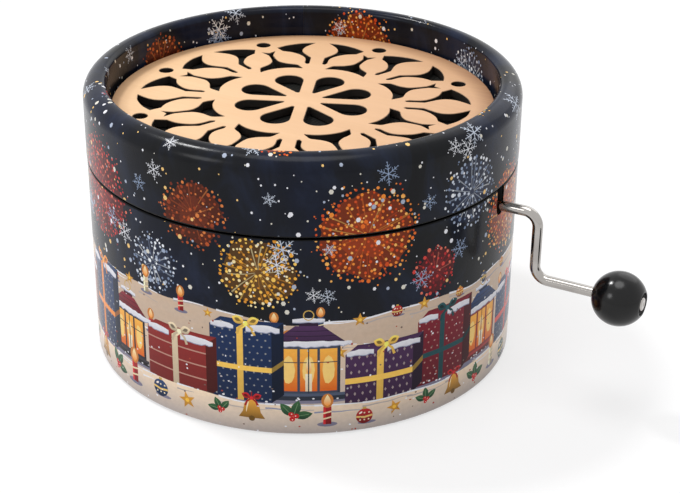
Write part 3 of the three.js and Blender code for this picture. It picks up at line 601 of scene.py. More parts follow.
    def lantern(self, wide, tall, body, roof):
        chance, half = self.chance, wide / 2
        foot, glass = tall * 0.08, tall * 0.52
        eave = foot + glass
        top = eave + tall * 0.22
        lid = top + tall * 0.05
        self.blob(0.5, 0.1, wide * 0.78, 0.9, groundShade, 20, 0.05, 0, snowInk)
        self.box(-half * 1.16, 0, half * 1.16, foot, shade(body, 0.7))
        self.box(-half * 1.16, foot * 0.6, half * 1.16, foot, shade(body, 1.25))
        self.box(-half, foot, half, eave, body)
        step = (wide - 0.9) / 3
        for pane in range(3):
            low = 0.75 - half + pane * step
            high = low + step - 0.6
            self.box(low, foot + 0.6, high, eave - 0.7, ((226, 104, 34), (255, 186, 78)), brightInk)
            self.blob((low + high) / 2, foot + glass * 0.5, (high - low) * 0.36, glass * 0.3,
                      (255, 214, 126), 12, 0.05, 0, brightInk)
            self.stroke([(low, foot + glass * 0.66), (high, foot + glass * 0.66)], 0.22, shade(body, 0.8))
        self.box(-0.75, foot + 0.6, 0.75, foot + glass * 0.42, ((232, 214, 180), (250, 238, 212)), brightInk)
        self.leaf(0, foot + glass * 0.4, glass * 0.38, 1.3, math.pi / 2, ((255, 170, 60), (255, 248, 210)),
                  brightInk, 0.35)
        for x, width, light in ((0.3 - half, 0.55, 1.2), (0, 0.28, 0.75), (half - 0.3, 0.55, 0.75)):
            self.stroke([(x, foot), (x, eave)], width, shade(body, light))
        self.shape([(-half * 1.3, eave), (half * 1.3, eave), (half * 0.42, top), (-half * 0.42, top)],
                   (shade(roof, 0.8), shade(roof, 1.2)))
        for line in range(1, 4):
            y = eave + (top - eave) * line / 4
            span = half * (1.3 - 0.88 * line / 4)
            self.stroke([(-span, y), (span, y)], 0.16, shade(roof, 0.6))
        self.cap(-half * 1.36, half * 1.36, eave + 0.35, 1.0, 0.7)
        self.box(-half * 0.3, top, half * 0.3, lid, shade(roof, 0.7))
        self.cap(-half * 0.5, half * 0.5, lid, 0.8, 0.3)
        ring = [2 * math.pi * k / 16 for k in range(17)]
        self.stroke([(1.15 * math.cos(a), lid + 1.5 + 1.2 * math.sin(a)) for a in ring], 0.26, gilt)
        for _ in range(5):
            self.blob(chance.uniform(-half, half), chance.uniform(0, 0.8), 0.3, 0.22, snowWhite,
                      6, 0, 0, snowInk)

    def bow(self, x, h, size, colour):
        outer = self.x, self.h, self.size
        self.at(self.x + x * self.size, self.h + h * self.size, size * self.size)
        for side in (1, -1):
            turn = math.pi / 2 - side * (math.pi / 2 - 0.42)
            self.leaf(0, 0, 1, 0.62, turn, (shade(colour, 0.8), shade(colour, 1.15)), brightInk, 0.62)
            self.leaf(side * 0.28, 0.12, 0.5, 0.26, turn, shade(colour, 0.55), brightInk, 0.62)
            self.stroke([(0, 0), (side * 0.42, -0.35), (side * 0.6, -0.85)], 0.16, shade(colour, 0.9),
                        0.2, brightInk)
        self.blob(0, 0, 0.17, 0.2, shade(colour, 1.2), 10, 0, 0, brightInk)
        self.at(*outer)

    def parcel(self, wide, tall, paper, ribbon, pattern):
        chance, half, deep = self.chance, wide / 2, winter["parcelDeep"]
        rise, lean = deep * 0.5, deep * 0.6
        self.blob(deep * 0.4, 0.1, wide * 0.68, 0.9, groundShade, 20, 0.05, 0, snowInk)
        self.box(-half, 0, half, tall, (shade(paper, 0.86), shade(paper, 1.1)))
        self.shape([(half, 0), (half + lean, rise), (half + lean, tall + rise), (half, tall)],
                   (shade(paper, 0.5), shade(paper, 0.66)))
        rows, columns = int(tall / 1.7), int(wide / 1.7)
        light = mixed(paper, (244, 232, 206), 0.55)
        for line in range(rows):
            y = tall * (line + 0.5) / rows
            if pattern == "stripes" and line % 2 == 0:
                self.stroke([(-half, y), (half, y)], 0.34, light)
            for column in range(columns):
                x = wide * (column + 0.5 + 0.25 * (-1) ** line) / columns - half
                for markWide, markTall, sides in patterns[pattern]:
                    self.blob(x, y, markWide, markTall, light, sides)
        self.box(-half, tall, half, tall + rise, (shade(paper, 1.25), paper), flatInk, lean)
        band = max(0.8, wide * 0.1)
        self.box(-band / 2, 0, band / 2, tall, (shade(ribbon, 0.85), ribbon), brightInk)
        self.box(-band / 2, tall, band / 2, tall + rise, shade(ribbon, 1.1), brightInk, lean)
        if pattern != "stripes":
            low, high = tall * 0.42, tall * 0.42 + band * 0.9
            self.box(-half, low, half, high, ribbon, brightInk)
            self.shape([(half, low), (half + lean, low + rise), (half + lean, high + rise), (half, high)],
                       shade(ribbon, 0.6), brightInk)
        self.cap(0.3 - half, -band, tall, 1.1, 0.6)
        self.cap(band, half + deep * 0.4, tall + 0.1, 1.2, 0.7)
        self.bow(deep * 0.3, tall + rise * 0.6, min(wide * 0.42, 3.4), ribbon)
        for _ in range(4):
            self.blob(chance.uniform(-half, half), chance.uniform(-0.2, 0.7), 0.36, 0.24, snowWhite,
                      6, 0, 0, snowInk)

    def bell(self, colour):
        self.stroke([(0, 1.1), (0, 1.5)], 0.3 / self.size, (150, 36, 40))
        side = [(0.62, 0.1), (0.42, 0.42), (0.34, 0.85), (0.14, 1.12)]
        self.shape([(-x, h) for x, h in side] + side[::-1],
                   (shade(colour, 0.62), shade(colour, 1.1)), brightInk)
        self.stroke([(-0.18, 0.95), (-0.26, 0.4)], 0.1, (255, 240, 196), 0.1 / self.size, brightInk)
        self.blob(0, 0.08, 0.15, 0.15, shade(colour, 0.5), 8, 0, 0, brightInk)
        self.bow(0, 1.15, 0.5, (186, 38, 44))

    def candle(self, colour):
        self.blob(0, 0, 0.5, 0.14, groundShade, 14, 0, 0, snowInk)
        self.box(-0.2, 0, 0.2, 1, (shade(colour, 0.7), colour))
        self.box(-0.2, 0, -0.08, 1, shade(colour, 1.25))
        for band in (0.3, 0.62):
            self.stroke([(-0.2, band), (0.2, band + 0.1)], 0.08, (240, 220, 180))
        self.blob(0, 1.34, 0.3, 0.4, (206, 128, 60), 14)
        self.leaf(0, 1.02, 0.66, 0.34, math.pi / 2, ((255, 150, 44), (255, 244, 190)), brightInk, 0.35)

    def holly(self, turn):
        for angle in (turn, turn + 2.1, turn + 1.1):
            self.leaf(0, 0, 1, 0.5, angle, ((30, 62, 44), (66, 108, 70)))
            self.stroke([(0, 0), polar(0.8, angle)], 0.12 / self.size, (122, 156, 112))
        for angle in (0.2, 2.3, 4.4):
            self.blob(*polar(0.16, angle), 0.15, 0.15, (200, 40, 42), 9)
            self.blob(0.12 * math.cos(angle), 0.2 * math.sin(angle), 0.04, 0.04, (255, 214, 206))

    def star(self, colour, turn=0.3):
        points = [polar(0.42 if corner % 2 else 1, turn + math.pi * corner / 5) for corner in range(10)]
        self.shape(points, (shade(colour, 0.8), colour), brightInk)
        self.blob(0, 0, 0.24, 0.24, shade(colour, 1.2), 8, 0, 0, brightInk)

    def bauble(self, colour):
        self.blob(0.3, -0.85, 1.1, 0.22, groundShade, 16, 0, 0, snowInk)
        self.blob(0, 0, 1, 1, (shade(colour, 0.6), shade(colour, 1.1)), 20)
        self.stroke([(-0.97, 0), (0, -0.16), (0.97, 0)], 0.24, (236, 200, 120))
        for spot in (-0.55, 0, 0.55):
            self.blob(spot, 0.42, 0.11, 0.11, pearl)
            self.blob(spot * 0.9, -0.48, 0.11, 0.11, pearl)
        self.blob(-0.42, 0.5, 0.2, 0.12, (255, 240, 232), 8, 0, 0.6)
        self.box(-0.22, 0.94, 0.22, 1.22, gilt)


def paintPicture():
    art = Painting(41)
    chance = art.chance
    half = case["around"] / 2
    art.box(-half - 4, -4, half + 4, 90, winter["sky"], nightInk)
    for x, h, size, name, arms in fireworks:
        art.at(x, h).firework(size, *tones[name], arms)
    for _ in range(winter["crystals"]):
        size = chance.uniform(*winter["crystalSizes"])
        art.at(chance.uniform(-half, half), chance.uniform(*winter["crystalSpan"]), size)
        art.crystal(chance.choice(winter["crystalTones"]), chance.uniform(0, 1))
    art.at(0, 0)
    for _ in range(winter["flakes"]):
        size = chance.choice(winter["flakeSizes"])
        art.blob(chance.uniform(-half, half), chance.uniform(*winter["flakeSpan"]), size, size * 1.1,
                 chance.choice(winter["flakeTones"]))
    # far bank and middle bank, with small things standing on them
    far, middle = art.drift(*winter["farBank"]), art.drift(*winter["middleBank"])
    for level, step in ((far, 8.5), (middle, 10.5)):
        x = 3 - half
        while x < half - 3:
            kind, low = chance.random(), level(x) - chance.uniform(1.0, 3.2)
            if kind < 0.35:
                art.at(x, low + 1, chance.uniform(1.0, 1.5))
                art.bauble(chance.choice([(184, 52, 46), (214, 130, 50), (46, 66, 104)]))
            elif kind < 0.7:
                art.at(x, low, chance.uniform(2.8, 4.0))
                art.candle(chance.choice([(176, 44, 44), cream, (52, 72, 104)]))
            else:
                art.at(x, low + 1, chance.uniform(1.2, 1.9)).star((236, 172, 70))
            x += step * chance.uniform(0.7, 1.3)
    # parcels and lanterns side by side, the higher ones painted first
    gap = (2 * half - sum(item[0] for item in row)) / len(row)
    level, swing = winter["rowLevel"]
    x, things = 2 - half, []
    for order, item in enumerate(row):
        things.append((level + swing * math.sin(order * 2.1), x + item[0] / 2, item))
        x += item[0] + gap
    for h, x, item in sorted(things, key=lambda thing: -thing[0]):
        art.at(x, h)
        paint = art.lantern if len(item) == 4 else art.parcel
        paint(*item)
    # painted shade along the gap between lid and base
    low, high = winter["partingShadeBand"]
    art.at(0, 0).box(-half - 4, low, half + 4, high, winter["partingShadeTone"])
    near = art.drift(*winter["nearBank"])
    # bells, candles, holly, stars and baubles along the front bank
    x, kind = 3 - half, 0
    while x < half - 3:
        low = near(x) - chance.uniform(4.4, 6.2)
        if kind == 0:
            art.at(x, low, chance.uniform(4.2, 5.4)).bell((222, 160, 66))
        elif kind == 1:
            art.at(x, low + 1.4, chance.uniform(3.6, 4.8)).holly(chance.uniform(-0.4, 0.8))
        elif kind == 2:
            art.at(x, low, chance.uniform(4.4, 5.6))
            art.candle(chance.choice([(172, 38, 44), (44, 68, 108), (228, 210, 180)]))
        elif kind == 3:
            art.at(x, low + 2.0, chance.uniform(1.9, 2.5))
            art.bauble(chance.choice([(178, 42, 46), (46, 70, 110), (200, 124, 48), (38, 84, 82)]))
        elif kind == 4:
            art.at(x, low + 2.2, chance.uniform(1.9, 2.5)).star((232, 166, 62), chance.uniform(0, 1))
        else:
            art.at(x, low + 1.2, chance.uniform(2.8, 3.6)).holly(chance.uniform(0.4, 1.4))
        kind = (kind + 1) % 6
        x += chance.uniform(7.0, 9.6)
    art.at(0, 0)
    for _ in range(winter["specks"]):
        art.blob(chance.uniform(-half, half), chance.uniform(*winter["speckSpan"]),
                 *[chance.uniform(*sizes) for sizes in winter["speckSizes"]],
                 chance.choice(winter["speckTones"]))
    return art


# The print as geometry: the flat picture is cut, bent round the case and made as thick as paper
def sectionOf(parts, startHeight):
    # rings of a sheet's section from lines (r0, z0, r1, z1) and arcs (r, z, radius, from, to in degrees).
    # A ring is its height on the picture, radius, z, outward direction, and whether the sheet bends there.
    rings, h = [], startHeight
    for part in parts:
        if len(part) == 4:
            r0, z0, r1, z1 = part
            length = math.hypot(r1 - r0, z1 - z0)
            steps = max(1, round(length / case["grid"]))
            for step in range(steps + 1):
                share = step / steps
                rings.append([h + length * share, r0 + (r1 - r0) * share, z0 + (z1 - z0) * share,
                              (z1 - z0) / length, (r0 - r1) / length, step in (0, steps)])
        else:
            r, z, radius, start, end = part
            length = radius * math.radians(abs(end - start))
            steps = max(4, math.ceil(abs(end - start) / 10))
            for step in range(steps + 1):
                angle = math.radians(start + (end - start) * step / steps)
                x, y = polar(radius, angle)
                rings.append([h + length * step / steps, r + x, z + y,
                              math.cos(angle), math.sin(angle), True])
        h = rings[-1][0]
    kept = [rings[0]]
    for ring in rings[1:]:
        if ring[0] - kept[-1][0] > 1e-6:
            kept.append(ring)
        else:
            kept[-1][5] = True
    return np.array(kept, float)


def divided(points, longest):
    # the sides of a closed outline as short straight edges
    starts = np.array(points, float)
    ends = np.roll(starts, -1, 0)
    parts = np.maximum(1, np.ceil(np.hypot(*(ends - starts).T) / longest)).astype(int)
    pieces = []
    for start, end, count in zip(starts, ends, parts):
        run = start + (end - start) * (np.arange(count + 1)[:, None] / count)
        pieces.append(np.hstack([run[:-1], run[1:]]))
    return np.vstack(pieces)


def insideOf(outline, x, h):
    # which of the points lie inside a closed outline
    x0, h0 = np.array(outline, float).T
    x1, h1 = np.roll(x0, -1), np.roll(h0, -1)
    crosses = (h0[None] > h[:, None]) != (h1[None] > h[:, None])
    rise = np.where(h1 == h0, 1.0, h1 - h0)
    left = x[:, None] < x0[None] + (x1 - x0)[None] * (h[:, None] - h0[None]) / rise[None]
    return np.sum(crosses & left, 1) % 2 == 1


def meshOf(edges, spots):
    # triangles between short edges and loose points
    ends = np.vstack([edges[:, :2], edges[:, 2:], spots])
    unique, numbers = np.unique(np.round(ends, 5), axis=0, return_inverse=True)
    starts, stops = numbers.ravel()[:2 * len(edges)].reshape(2, -1)
    pairs = [(int(a), int(b)) for a, b in zip(starts, stops) if a != b]
    points, _, cells, *_ = delaunay_2d_cdt([Vector(v) for v in unique], pairs, [], 0, 1e-5, False)
    points, cells = np.array([tuple(v) for v in points]), np.array([tuple(c) for c in cells])
    a, b, c = points[cells[:, 0]], points[cells[:, 1]], points[cells[:, 2]]
    size = (b[:, 0] - a[:, 0]) * (c[:, 1] - a[:, 1]) - (c[:, 0] - a[:, 0]) * (b[:, 1] - a[:, 1])
    cells[size < 0] = cells[size < 0][:, ::-1]
    return points, cells[np.abs(size) > 1e-6]


def acrossAt(heights, xs):
    return [[a, h, b, h] for h in heights for a, b in zip(xs[:-1], xs[1:])]


def cutFront(domain, shapes, rings, borders):
    # the picture's triangles, strip by strip; every shape's outline is an edge
    low, high = rings[0, 0], rings[-1, 0]
    edges = np.vstack([divided(domain, case["grid"])]
                      + [divided(shape[0], case["longest"]) for shape in shapes])
    xs, hs = np.sort(edges[:, ::2], 1), np.sort(edges[:, 1::2], 1)
    close = (hs[:, 1] > low - case["past"]) & (hs[:, 0] < high + case["past"])
    edges, xs = edges[close], xs[close]
    columnsEach = max(2, round((borders[-1] - borders[0]) / case["grid"] / case["strips"]))
    points, cells, count = [], [], 0
    for lowX, highX in zip(borders[:-1], borders[1:]):
        near = edges[(xs[:, 1] > lowX) & (xs[:, 0] < highX)]
        columns = np.linspace(lowX, highX, columnsEach + 1)
        lines = [[x, a, x, b] for x in (lowX, highX) for a, b in zip(rings[:-1, 0], rings[1:, 0])]
        lines += acrossAt(rings[rings[:, 5] > 0, 0], columns)
        spots = np.array([(x, h) for x in columns for h in rings[:, 0]])
        flat, triangles = meshOf(np.vstack([near, lines]), spots)
        x, h = flat[triangles].mean(1).T
        triangles = triangles[(x > lowX) & (x < highX) & (h > low) & (h < high)]
        points.append(flat)
        cells.append(triangles + count)
        count += len(flat)
    points, cells = np.vstack(points), np.vstack(cells)
    cells = cells[insideOf(domain, *points[cells].mean(1).T)]
    # points that strips share become one, and the cells run from left to right
    points, numbers = np.unique(np.round(points[cells.ravel()], 4), axis=0, return_inverse=True)
    cells = numbers.reshape(-1, 3)
    cells = cells[(cells != np.roll(cells, -1, 1)).all(1)]
    return points, cells[np.argsort(points[cells].mean(1)[:, 0])]


def borderOf(points, cells, borders):
    # the front's border, without the lines between two strips
    sides = {(int(cell[k]), int(cell[(k + 1) % 3])) for cell in cells for k in range(3)}
    inner = set(np.round(borders[1:-1], 4))
    return [(a, b) for a, b in sides if (b, a) not in sides
            and not (points[a][0] == points[b][0] and points[a][0] in inner)]


def backOf(points, border, domain, rings, half):
    # large triangles for the paper's plain side, which keep the front's border
    xs = np.linspace(-half, half, round(half / case["grid"]) + 1)
    inner = rings[1:-1]
    rim = np.array([[*points[a], *points[b]] for a, b in border])
    flat, cells = meshOf(np.vstack([rim, acrossAt(inner[inner[:, 5] > 0, 0], xs)]),
                         np.array([(x, h) for x in xs[1:-1] for h in inner[:, 0]]))
    return flat, cells[insideOf(domain, *flat[cells].mean(1).T)][:, ::-1]


def seenOn(middle, shapes):
    # the number of the last shape that lies over each cell
    seen = np.zeros(len(middle), int)
    for number, (points, _, _, low, high, _) in enumerate(shapes):
        outline = np.array(points)
        near = np.arange(*np.searchsorted(middle[:, 0], (outline[:, 0].min(), outline[:, 0].max())))
        near = near[(middle[near, 1] > low) & (middle[near, 1] < high)]
        if len(near):
            seen[near[insideOf(outline, *middle[near].T)]] = number
    return seen


def inkOf(shapes, seen, heights):
    # a colour for each corner, its alpha says what the finish makes of it
    looks = np.array([[*low[:3], *high[:3], foot, max(top - foot, 0.001), ink]
                      for _, low, high, foot, top, ink in shapes])
    look = np.repeat(looks[seen], 3, 0)
    share = np.clip((heights - look[:, 6]) / look[:, 7], 0, 1)[:, None]
    return np.hstack([look[:, :3] + (look[:, 3:6] - look[:, :3]) * share, look[:, 8:9]])


def bent(points, rings, inwards):
    # places on the case and outward directions for points of the flat picture
    r, z, nr, nz = [np.interp(points[:, 1], rings[:, 0], rings[:, k]) for k in (1, 2, 3, 4)]
    size = np.hypot(nr, nz)
    nr, nz = nr / size, nz / size
    r, z = r - nr * inwards, z - nz * inwards
    angle = case["front"] + points[:, 0] / case["radius"]
    cos, sin = np.cos(angle), np.sin(angle)
    return np.stack([r * cos, r * sin, z], 1) * mm, np.stack([nr * cos, nr * sin, nz], 1)


bake = {
    # for the bake, the print lies in three rows and the back in a narrow strip under them
    "rows": 3, "strip": 0.04, "edge": 0.02, "over": 1.3,
    "backEdge": 0.01, "backFoot": 0.004, "backTall": 0.028,
}


def bakePlaces(front, rest, middle, half, low, high):
    width, tall = 2 * half / bake["rows"], (1 - bake["strip"]) / bake["rows"]
    row = np.clip(np.floor((middle[:, 0] + half) / width), 0, bake["rows"] - 1).repeat(3)
    edge, over = bake["edge"], bake["over"]
    across = (front[:, 0] + half - row * width + over) / (width + 2 * over)
    up = (front[:, 1] - low) / (high - low)
    backAcross, backUp = (rest[:, 0] + half) / (2 * half), (rest[:, 1] - low) / (high - low)
    return np.vstack([
        np.stack([edge + (1 - 2 * edge) * across,
                  bake["strip"] + tall * (row + edge + (1 - 2 * edge) * up)], 1),
        np.stack([bake["backEdge"] + (1 - 2 * bake["backEdge"]) * backAcross,
                  bake["backFoot"] + bake["backTall"] * backUp], 1)])


def printSheet(name, art, rings, notch):
    half = case["around"] / 2 - case["seam"] / 2
    low, high = rings[0, 0], rings[-1, 0]
    domain = [(-half, low), (half, low), (half, high)] + notch + [(-half, high)]
    shapes = [shape for shape in art.shapes if shape[4] > low - 0.1 and shape[3] < high + 0.1]
    borders = np.linspace(-half, half, case["strips"] + 1)
    points, cells = cutFront(domain, shapes, rings, borders)
    border = borderOf(points, cells, borders)
    flat, triangles = backOf(points, border, domain, rings, half)
    first = len(points)
    behind = {tuple(key): first + k for k, key in enumerate(np.round(flat, 4))}
    quads = []
    for a, b in border:
        backA, backB = [behind.get(tuple(np.round(points[k], 4)), 0) for k in (a, b)]
        if backA and backB and backA != backB:
            quads.append((b, a, backA, backB))
    frontPoints, frontNormals = bent(points, rings, 0)
    backPoints, backNormals = bent(flat, rings, case["paper"])
    allPoints = np.vstack([frontPoints, backPoints])
    polygons = [tuple(map(int, cell)) for cell in np.vstack([cells, triangles + first])] + quads
    corners = np.array([k for polygon in polygons for k in polygon])
    normals = np.vstack([frontNormals, -backNormals])[corners]
    # the four corners of each side have that side's own direction
    for k in range(3 * (len(cells) + len(triangles)), len(corners), 4):
        a, b, c = allPoints[corners[k:k + 3]]
        out = np.cross(b - a, c - b)
        normals[k:k + 4] = out / max(np.linalg.norm(out), 1e-12)
    middle = points[cells].mean(1)
    places = np.vstack([points, flat])[corners]
    front, rest = places[:3 * len(cells)], places[3 * len(cells):]
    bare = np.tile([*tone(150, 144, 136)[:3], flatInk], (3 * len(triangles), 1))
    cut = np.tile([*tone(24, 23, 24)[:3], flatInk], (4 * len(quads), 1))
    mesh = bpy.data.meshes.new(name)
    mesh.from_pydata(allPoints.tolist(), [], polygons)
    mesh.uv_layers.new(name="Sheet").data.foreach_set("uv", (places * mm).ravel())
    baked = bakePlaces(front, rest, middle, half, low, high)
    mesh.uv_layers.new(name="OFBake").data.foreach_set("uv", baked.ravel())
    ink = mesh.color_attributes.new("ink", "FLOAT_COLOR", "CORNER")
    painted = inkOf(shapes, seenOn(middle, shapes), front[:, 1])
    ink.data.foreach_set("color", np.vstack([painted, bare, cut]).ravel())
    mesh.polygons.foreach_set("use_smooth", [True] * len(mesh.polygons))
    mesh.normals_split_custom_set(normals.tolist())
    mesh.materials.append(finish["printed_paper"])
    print(name, "has", len(mesh.polygons), "faces,", len(border), "border edges and", len(quads), "sides")
    return added(name, mesh)


# the shaft's slot, open at the top edge
slot = {"radius": 1.9, "height": 45.5, "wall": 50.0, "deep": 12.0}
picture = paintPicture()
print("picture painted:", len(picture.shapes), "shapes")
quarterEdge = 0.25 * math.pi
baseSection = sectionOf([
    (50.8, 0.4, 51.9, 0.4), (51.9, 0.9, 0.5, -90, 0), (52.4, 0.9, 52.4, 49.9),
    (51.9, 49.9, 0.5, 0, 90), (51.9, 50.4, 50.0, 50.4)], 0.9 - quarterEdge - 1.1)
slotMiddle, slotEnd = -case["front"] * case["radius"], float(baseSection[-1, 0])
baseNotch = [(slotMiddle + slot["radius"], slotEnd)]
for degrees in range(180, -1, -15):
    x, h = polar(slot["radius"], math.radians(degrees))
    baseNotch.append((slotMiddle - x, slot["height"] - h))
baseNotch.append((slotMiddle - slot["radius"], slotEnd))
baseSheet = printSheet("baseSheet", picture, baseSection, baseNotch)
carried(baseSheet, "base", "printed_paper", "base_wrap")
lidSection = sectionOf([
    (50.1, 50.7, 52.0, 50.7), (52.0, 51.2, 0.5, -90, 0), (52.5, 51.2, 52.5, 65.4),
    (48.5, 65.4, 4.0, 0, 90), (48.5, 69.4, 48.4, 69.4), (48.4, 67.9, 1.5, 90, 180),
    (46.9, 67.9, 46.9, 60.3)], 51.2 - quarterEdge - 1.9)
lidSheet = printSheet("lidSheet", picture, lidSection, [])
carried(lidSheet, "lid", "printed_paper", "lid_wrap")
print("printed sheets ready")

# Rosette: angles are shares of half a spoke pitch, radii are shares of the disc's radius
rosette = {
    "radius": 46.1, "spokes": 8, "turn": -0.4, "top": 62.0, "bottom": 60.0, "edge": 0.12,
    "ring": 0.481, "ringWidth": 5.3, "spokeWidth": 3.2, "tearTip": 0.4, "pearl": 1.8, "pearlRing": 39.8,
    "leafGap": [
        [[0.115, 0.875], [0.342, 0.866], [0.6, 0.837], [0.795, 0.803]],
        [[0.795, 0.803], [0.715, 0.746]],
        [[0.715, 0.746], [0.542, 0.72], [0.4, 0.683], [0.3, 0.643], [0.267, 0.604], [0.284, 0.556]],
        [[0.284, 0.556], [0.235, 0.534], [0.173, 0.541]],
        [[0.173, 0.541], [0.156, 0.635]],
        [[0.156, 0.635], [0.227, 0.664], [0.32, 0.712], [0.342, 0.752], [0.3, 0.797], [0.213, 0.837],
         [0.115, 0.875]]],
    "ringGap": [
        [[0, 0.481], [0.173, 0.48], [0.4, 0.475], [0.66, 0.463]],
        [[0.66, 0.463], [0.6, 0.488], [0.516, 0.52], [0.4, 0.533], [0.227, 0.552], [0.084, 0.588],
         [0.045, 0.635], [0.04, 0.688]],
        [[0.04, 0.688], [0.072, 0.712], [0.13, 0.75]],
        [[0.13, 0.75], [0, 0.726]]],
    # fineness of its faces and curves, how far a cut reaches from its middle, and how burnt
    # its walls and its bevels are
    "grid": 4.0, "curveSteps": 6, "cutReach": 14, "char": (1.0, 0.45),
}


def curveThrough(corners, steps):
    # a smooth run through its corners, without the last point
    if len(corners) == 2:
        return [corners[0]]
    run = []
    for k in range(len(corners) - 1):
        p = [np.array(corners[min(max(j, 0), len(corners) - 1)]) for j in (k - 1, k, k + 1, k + 2)]
        a, b = (p[2] - p[0]) / 2, (p[3] - p[1]) / 2
        for step in range(steps):
            t = step / steps
            run.append(tuple((2 * p[1] - 2 * p[2] + a + b) * t ** 3
                             + (-3 * p[1] + 3 * p[2] - 2 * a - b) * t ** 2 + a * t + p[1]))
    return run


def roundOf(x, y, radius, sides, start=0.0, end=2 * math.pi):
    # a closed round leaves out its last point, an arc has both ends
    points = []
    for k in range(sides if end - start > 6.28 else sides + 1):
        dx, dy = polar(radius, start + (end - start) * k / sides)
        points.append((x + dx, y + dy))
    return points


def sideOf(runs, axis, side):
    # one half of a cut from its runs, on one side of an axis
    points, half = [], math.pi / rosette["spokes"]
    for run in runs:
        corners = [polar(r * rosette["radius"], axis + side * a * half) for a, r in run]
        points += curveThrough(corners, rosette["curveSteps"])
    return points


def rosetteCuts():
    pitch, quarter = 2 * math.pi / rosette["spokes"], math.pi / 2
    lean = pitch / 2
    spread = math.sin(lean)
    bore = rosette["ring"] * rosette["radius"] - rosette["ringWidth"]
    end = (bore + rosette["spokeWidth"] / 2) / (1 + spread)
    tip = (rosette["tearTip"] + rosette["spokeWidth"] / 2) / spread
    tear = (roundOf(end, 0, bore - end, 28, -quarter - lean, quarter + lean)
            + roundOf(tip, 0, rosette["tearTip"], 8, quarter + lean, 3 * quarter - lean))
    fork = rosette["ringGap"][-1][1][1] * rosette["radius"]
    cuts = []
    for spoke in range(rosette["spokes"]):
        gap = math.radians(rosette["turn"]) + spoke * pitch
        cuts += [sideOf(rosette["leafGap"], gap + lean, side) for side in (-1, 1)]
        left, right = [sideOf(rosette["ringGap"], gap, side) for side in (1, -1)]
        cuts.append(left + [polar(fork, gap)] + right[:0:-1])
        cuts.append([rotated(x, y, gap) for x, y in tear])
        cuts.append(roundOf(*polar(rosette["pearlRing"], gap), rosette["pearl"], 24))
    return cuts


def areaOf(outline):
    x, y = np.array(outline).T
    return float(np.sum(x * np.roll(y, -1) - np.roll(x, -1) * y)) / 2


def insetOf(loop, edge):
    back, ahead = loop - np.roll(loop, 1, 0), np.roll(loop, -1, 0) - loop
    back /= np.hypot(*back.T)[:, None]
    ahead /= np.hypot(*ahead.T)[:, None]
    normal = np.stack([-(back + ahead)[:, 1], (back + ahead)[:, 0]], 1)
    normal /= np.maximum(np.hypot(*normal.T), 0.3)[:, None]
    return loop + normal * edge


def cutPlate(name, outer, cuts, top, bottom, edge):
    # a flat plate with a fine bevel round every cut; the burn is on the walls and a little on the bevels
    loops = [outer if areaOf(outer) > 0 else outer[::-1]] + [c if areaOf(c) < 0 else c[::-1] for c in cuts]
    loops = [np.array(loop, float) for loop in loops]
    insets = [insetOf(loop, edge) for loop in loops]
    points, faces, burns = [], [], []

    def level(flat, z):
        points.extend((x * mm, y * mm, z * mm) for x, y in flat)
    for loop, inset in zip(loops, insets):
        first, n = len(points), len(loop)
        for ring, z in ((loop, bottom), (loop, top - edge), (inset, top)):
            level(ring, z)
        for k in range(n):
            for start, burn in zip((first, first + n), rosette["char"]):
                a, b = start + k, start + (k + 1) % n
                faces.append((a, b, b + n, a + n))
                burns.append(burn)
    grid = np.arange(-48, 49, rosette["grid"])
    for turn, rings, z in ((1, insets, top), (-1, loops, bottom)):
        edges = np.vstack([np.hstack([ring, np.roll(ring, -1, 0)]) for ring in rings])
        flat, cells = meshOf(edges, np.array([(x, y) for x in grid for y in grid]))
        middle = flat[cells].mean(1)
        keep = insideOf(rings[0], *middle.T)
        for ring in rings[1:]:
            near = np.hypot(*(middle - ring.mean(0)).T) < rosette["cutReach"]
            keep[near] &= ~insideOf(ring, *middle[near].T)
        first = len(points)
        level(flat, z)
        for cell in cells[keep]:
            faces.append(tuple(int(k) + first for k in cell[::turn]))
            burns.append(0.0)
    mesh = bpy.data.meshes.new(name)
    mesh.from_pydata(points, [], faces)
    burn = mesh.color_attributes.new("burn", "FLOAT_COLOR", "CORNER")
    burn.data.foreach_set("color", [value for face, share in zip(faces, burns) for _ in face
                                    for value in (share, share, share, 1.0)])
    plate = added(name, mesh)
    chosen(plate)
    joined()
    smoothed(32)
    return plate


grille = cutPlate("rosetteGrille", roundOf(0, 0, rosette["radius"], 160), rosetteCuts(),
                  rosette["top"], rosette["bottom"], rosette["edge"])
grille.data.materials.append(finish["lime_wood"])
carried(grille, "lid", "lime_wood", "grille")
print("rosette cut:", len(grille.data.polygons), "faces")


# Turned pieces: a section is spun about its axis
def turned(name, section, steps, material, axis="Z", centre=(0, 0, 0), angle=35):
    # section: closed list of (radius, distance along the axis), in millimetres
    points = []
    for r, a in section:
        offset = {"X": (a, 0, r), "Y": (r, a, 0), "Z": (r, 0, a)}[axis]
        points.append([(middle + value) * mm for middle, value in zip(centre, offset)])
    mesh = bpy.data.meshes.new(name)
    mesh.from_pydata(points, [(k, (k + 1) % len(points)) for k in range(len(points))], [])
    piece = added(name, mesh)
    chosen(piece)
    bpy.ops.object.mode_set(mode="EDIT")
    edit.select_all(action="SELECT")
    edit.spin(steps=steps, angle=2 * math.pi, center=[value * mm for value in centre],
              axis=[float(axis == letter) for letter in "XYZ"])
    joined()
    edit.normals_make_consistent(inside=False)
    smoothed(angle)
    mesh.materials.append(finish[material])
    return piece


def cutAway(piece, tool, operation="DIFFERENCE"):
    # the exact solver leaves the slot closed in some runs, this one cuts it the same way each time
    modified(piece, "BOOLEAN", operation=operation, object=tool, solver="MANIFOLD")
    bpy.data.objects.remove(tool)
    smoothed(35)


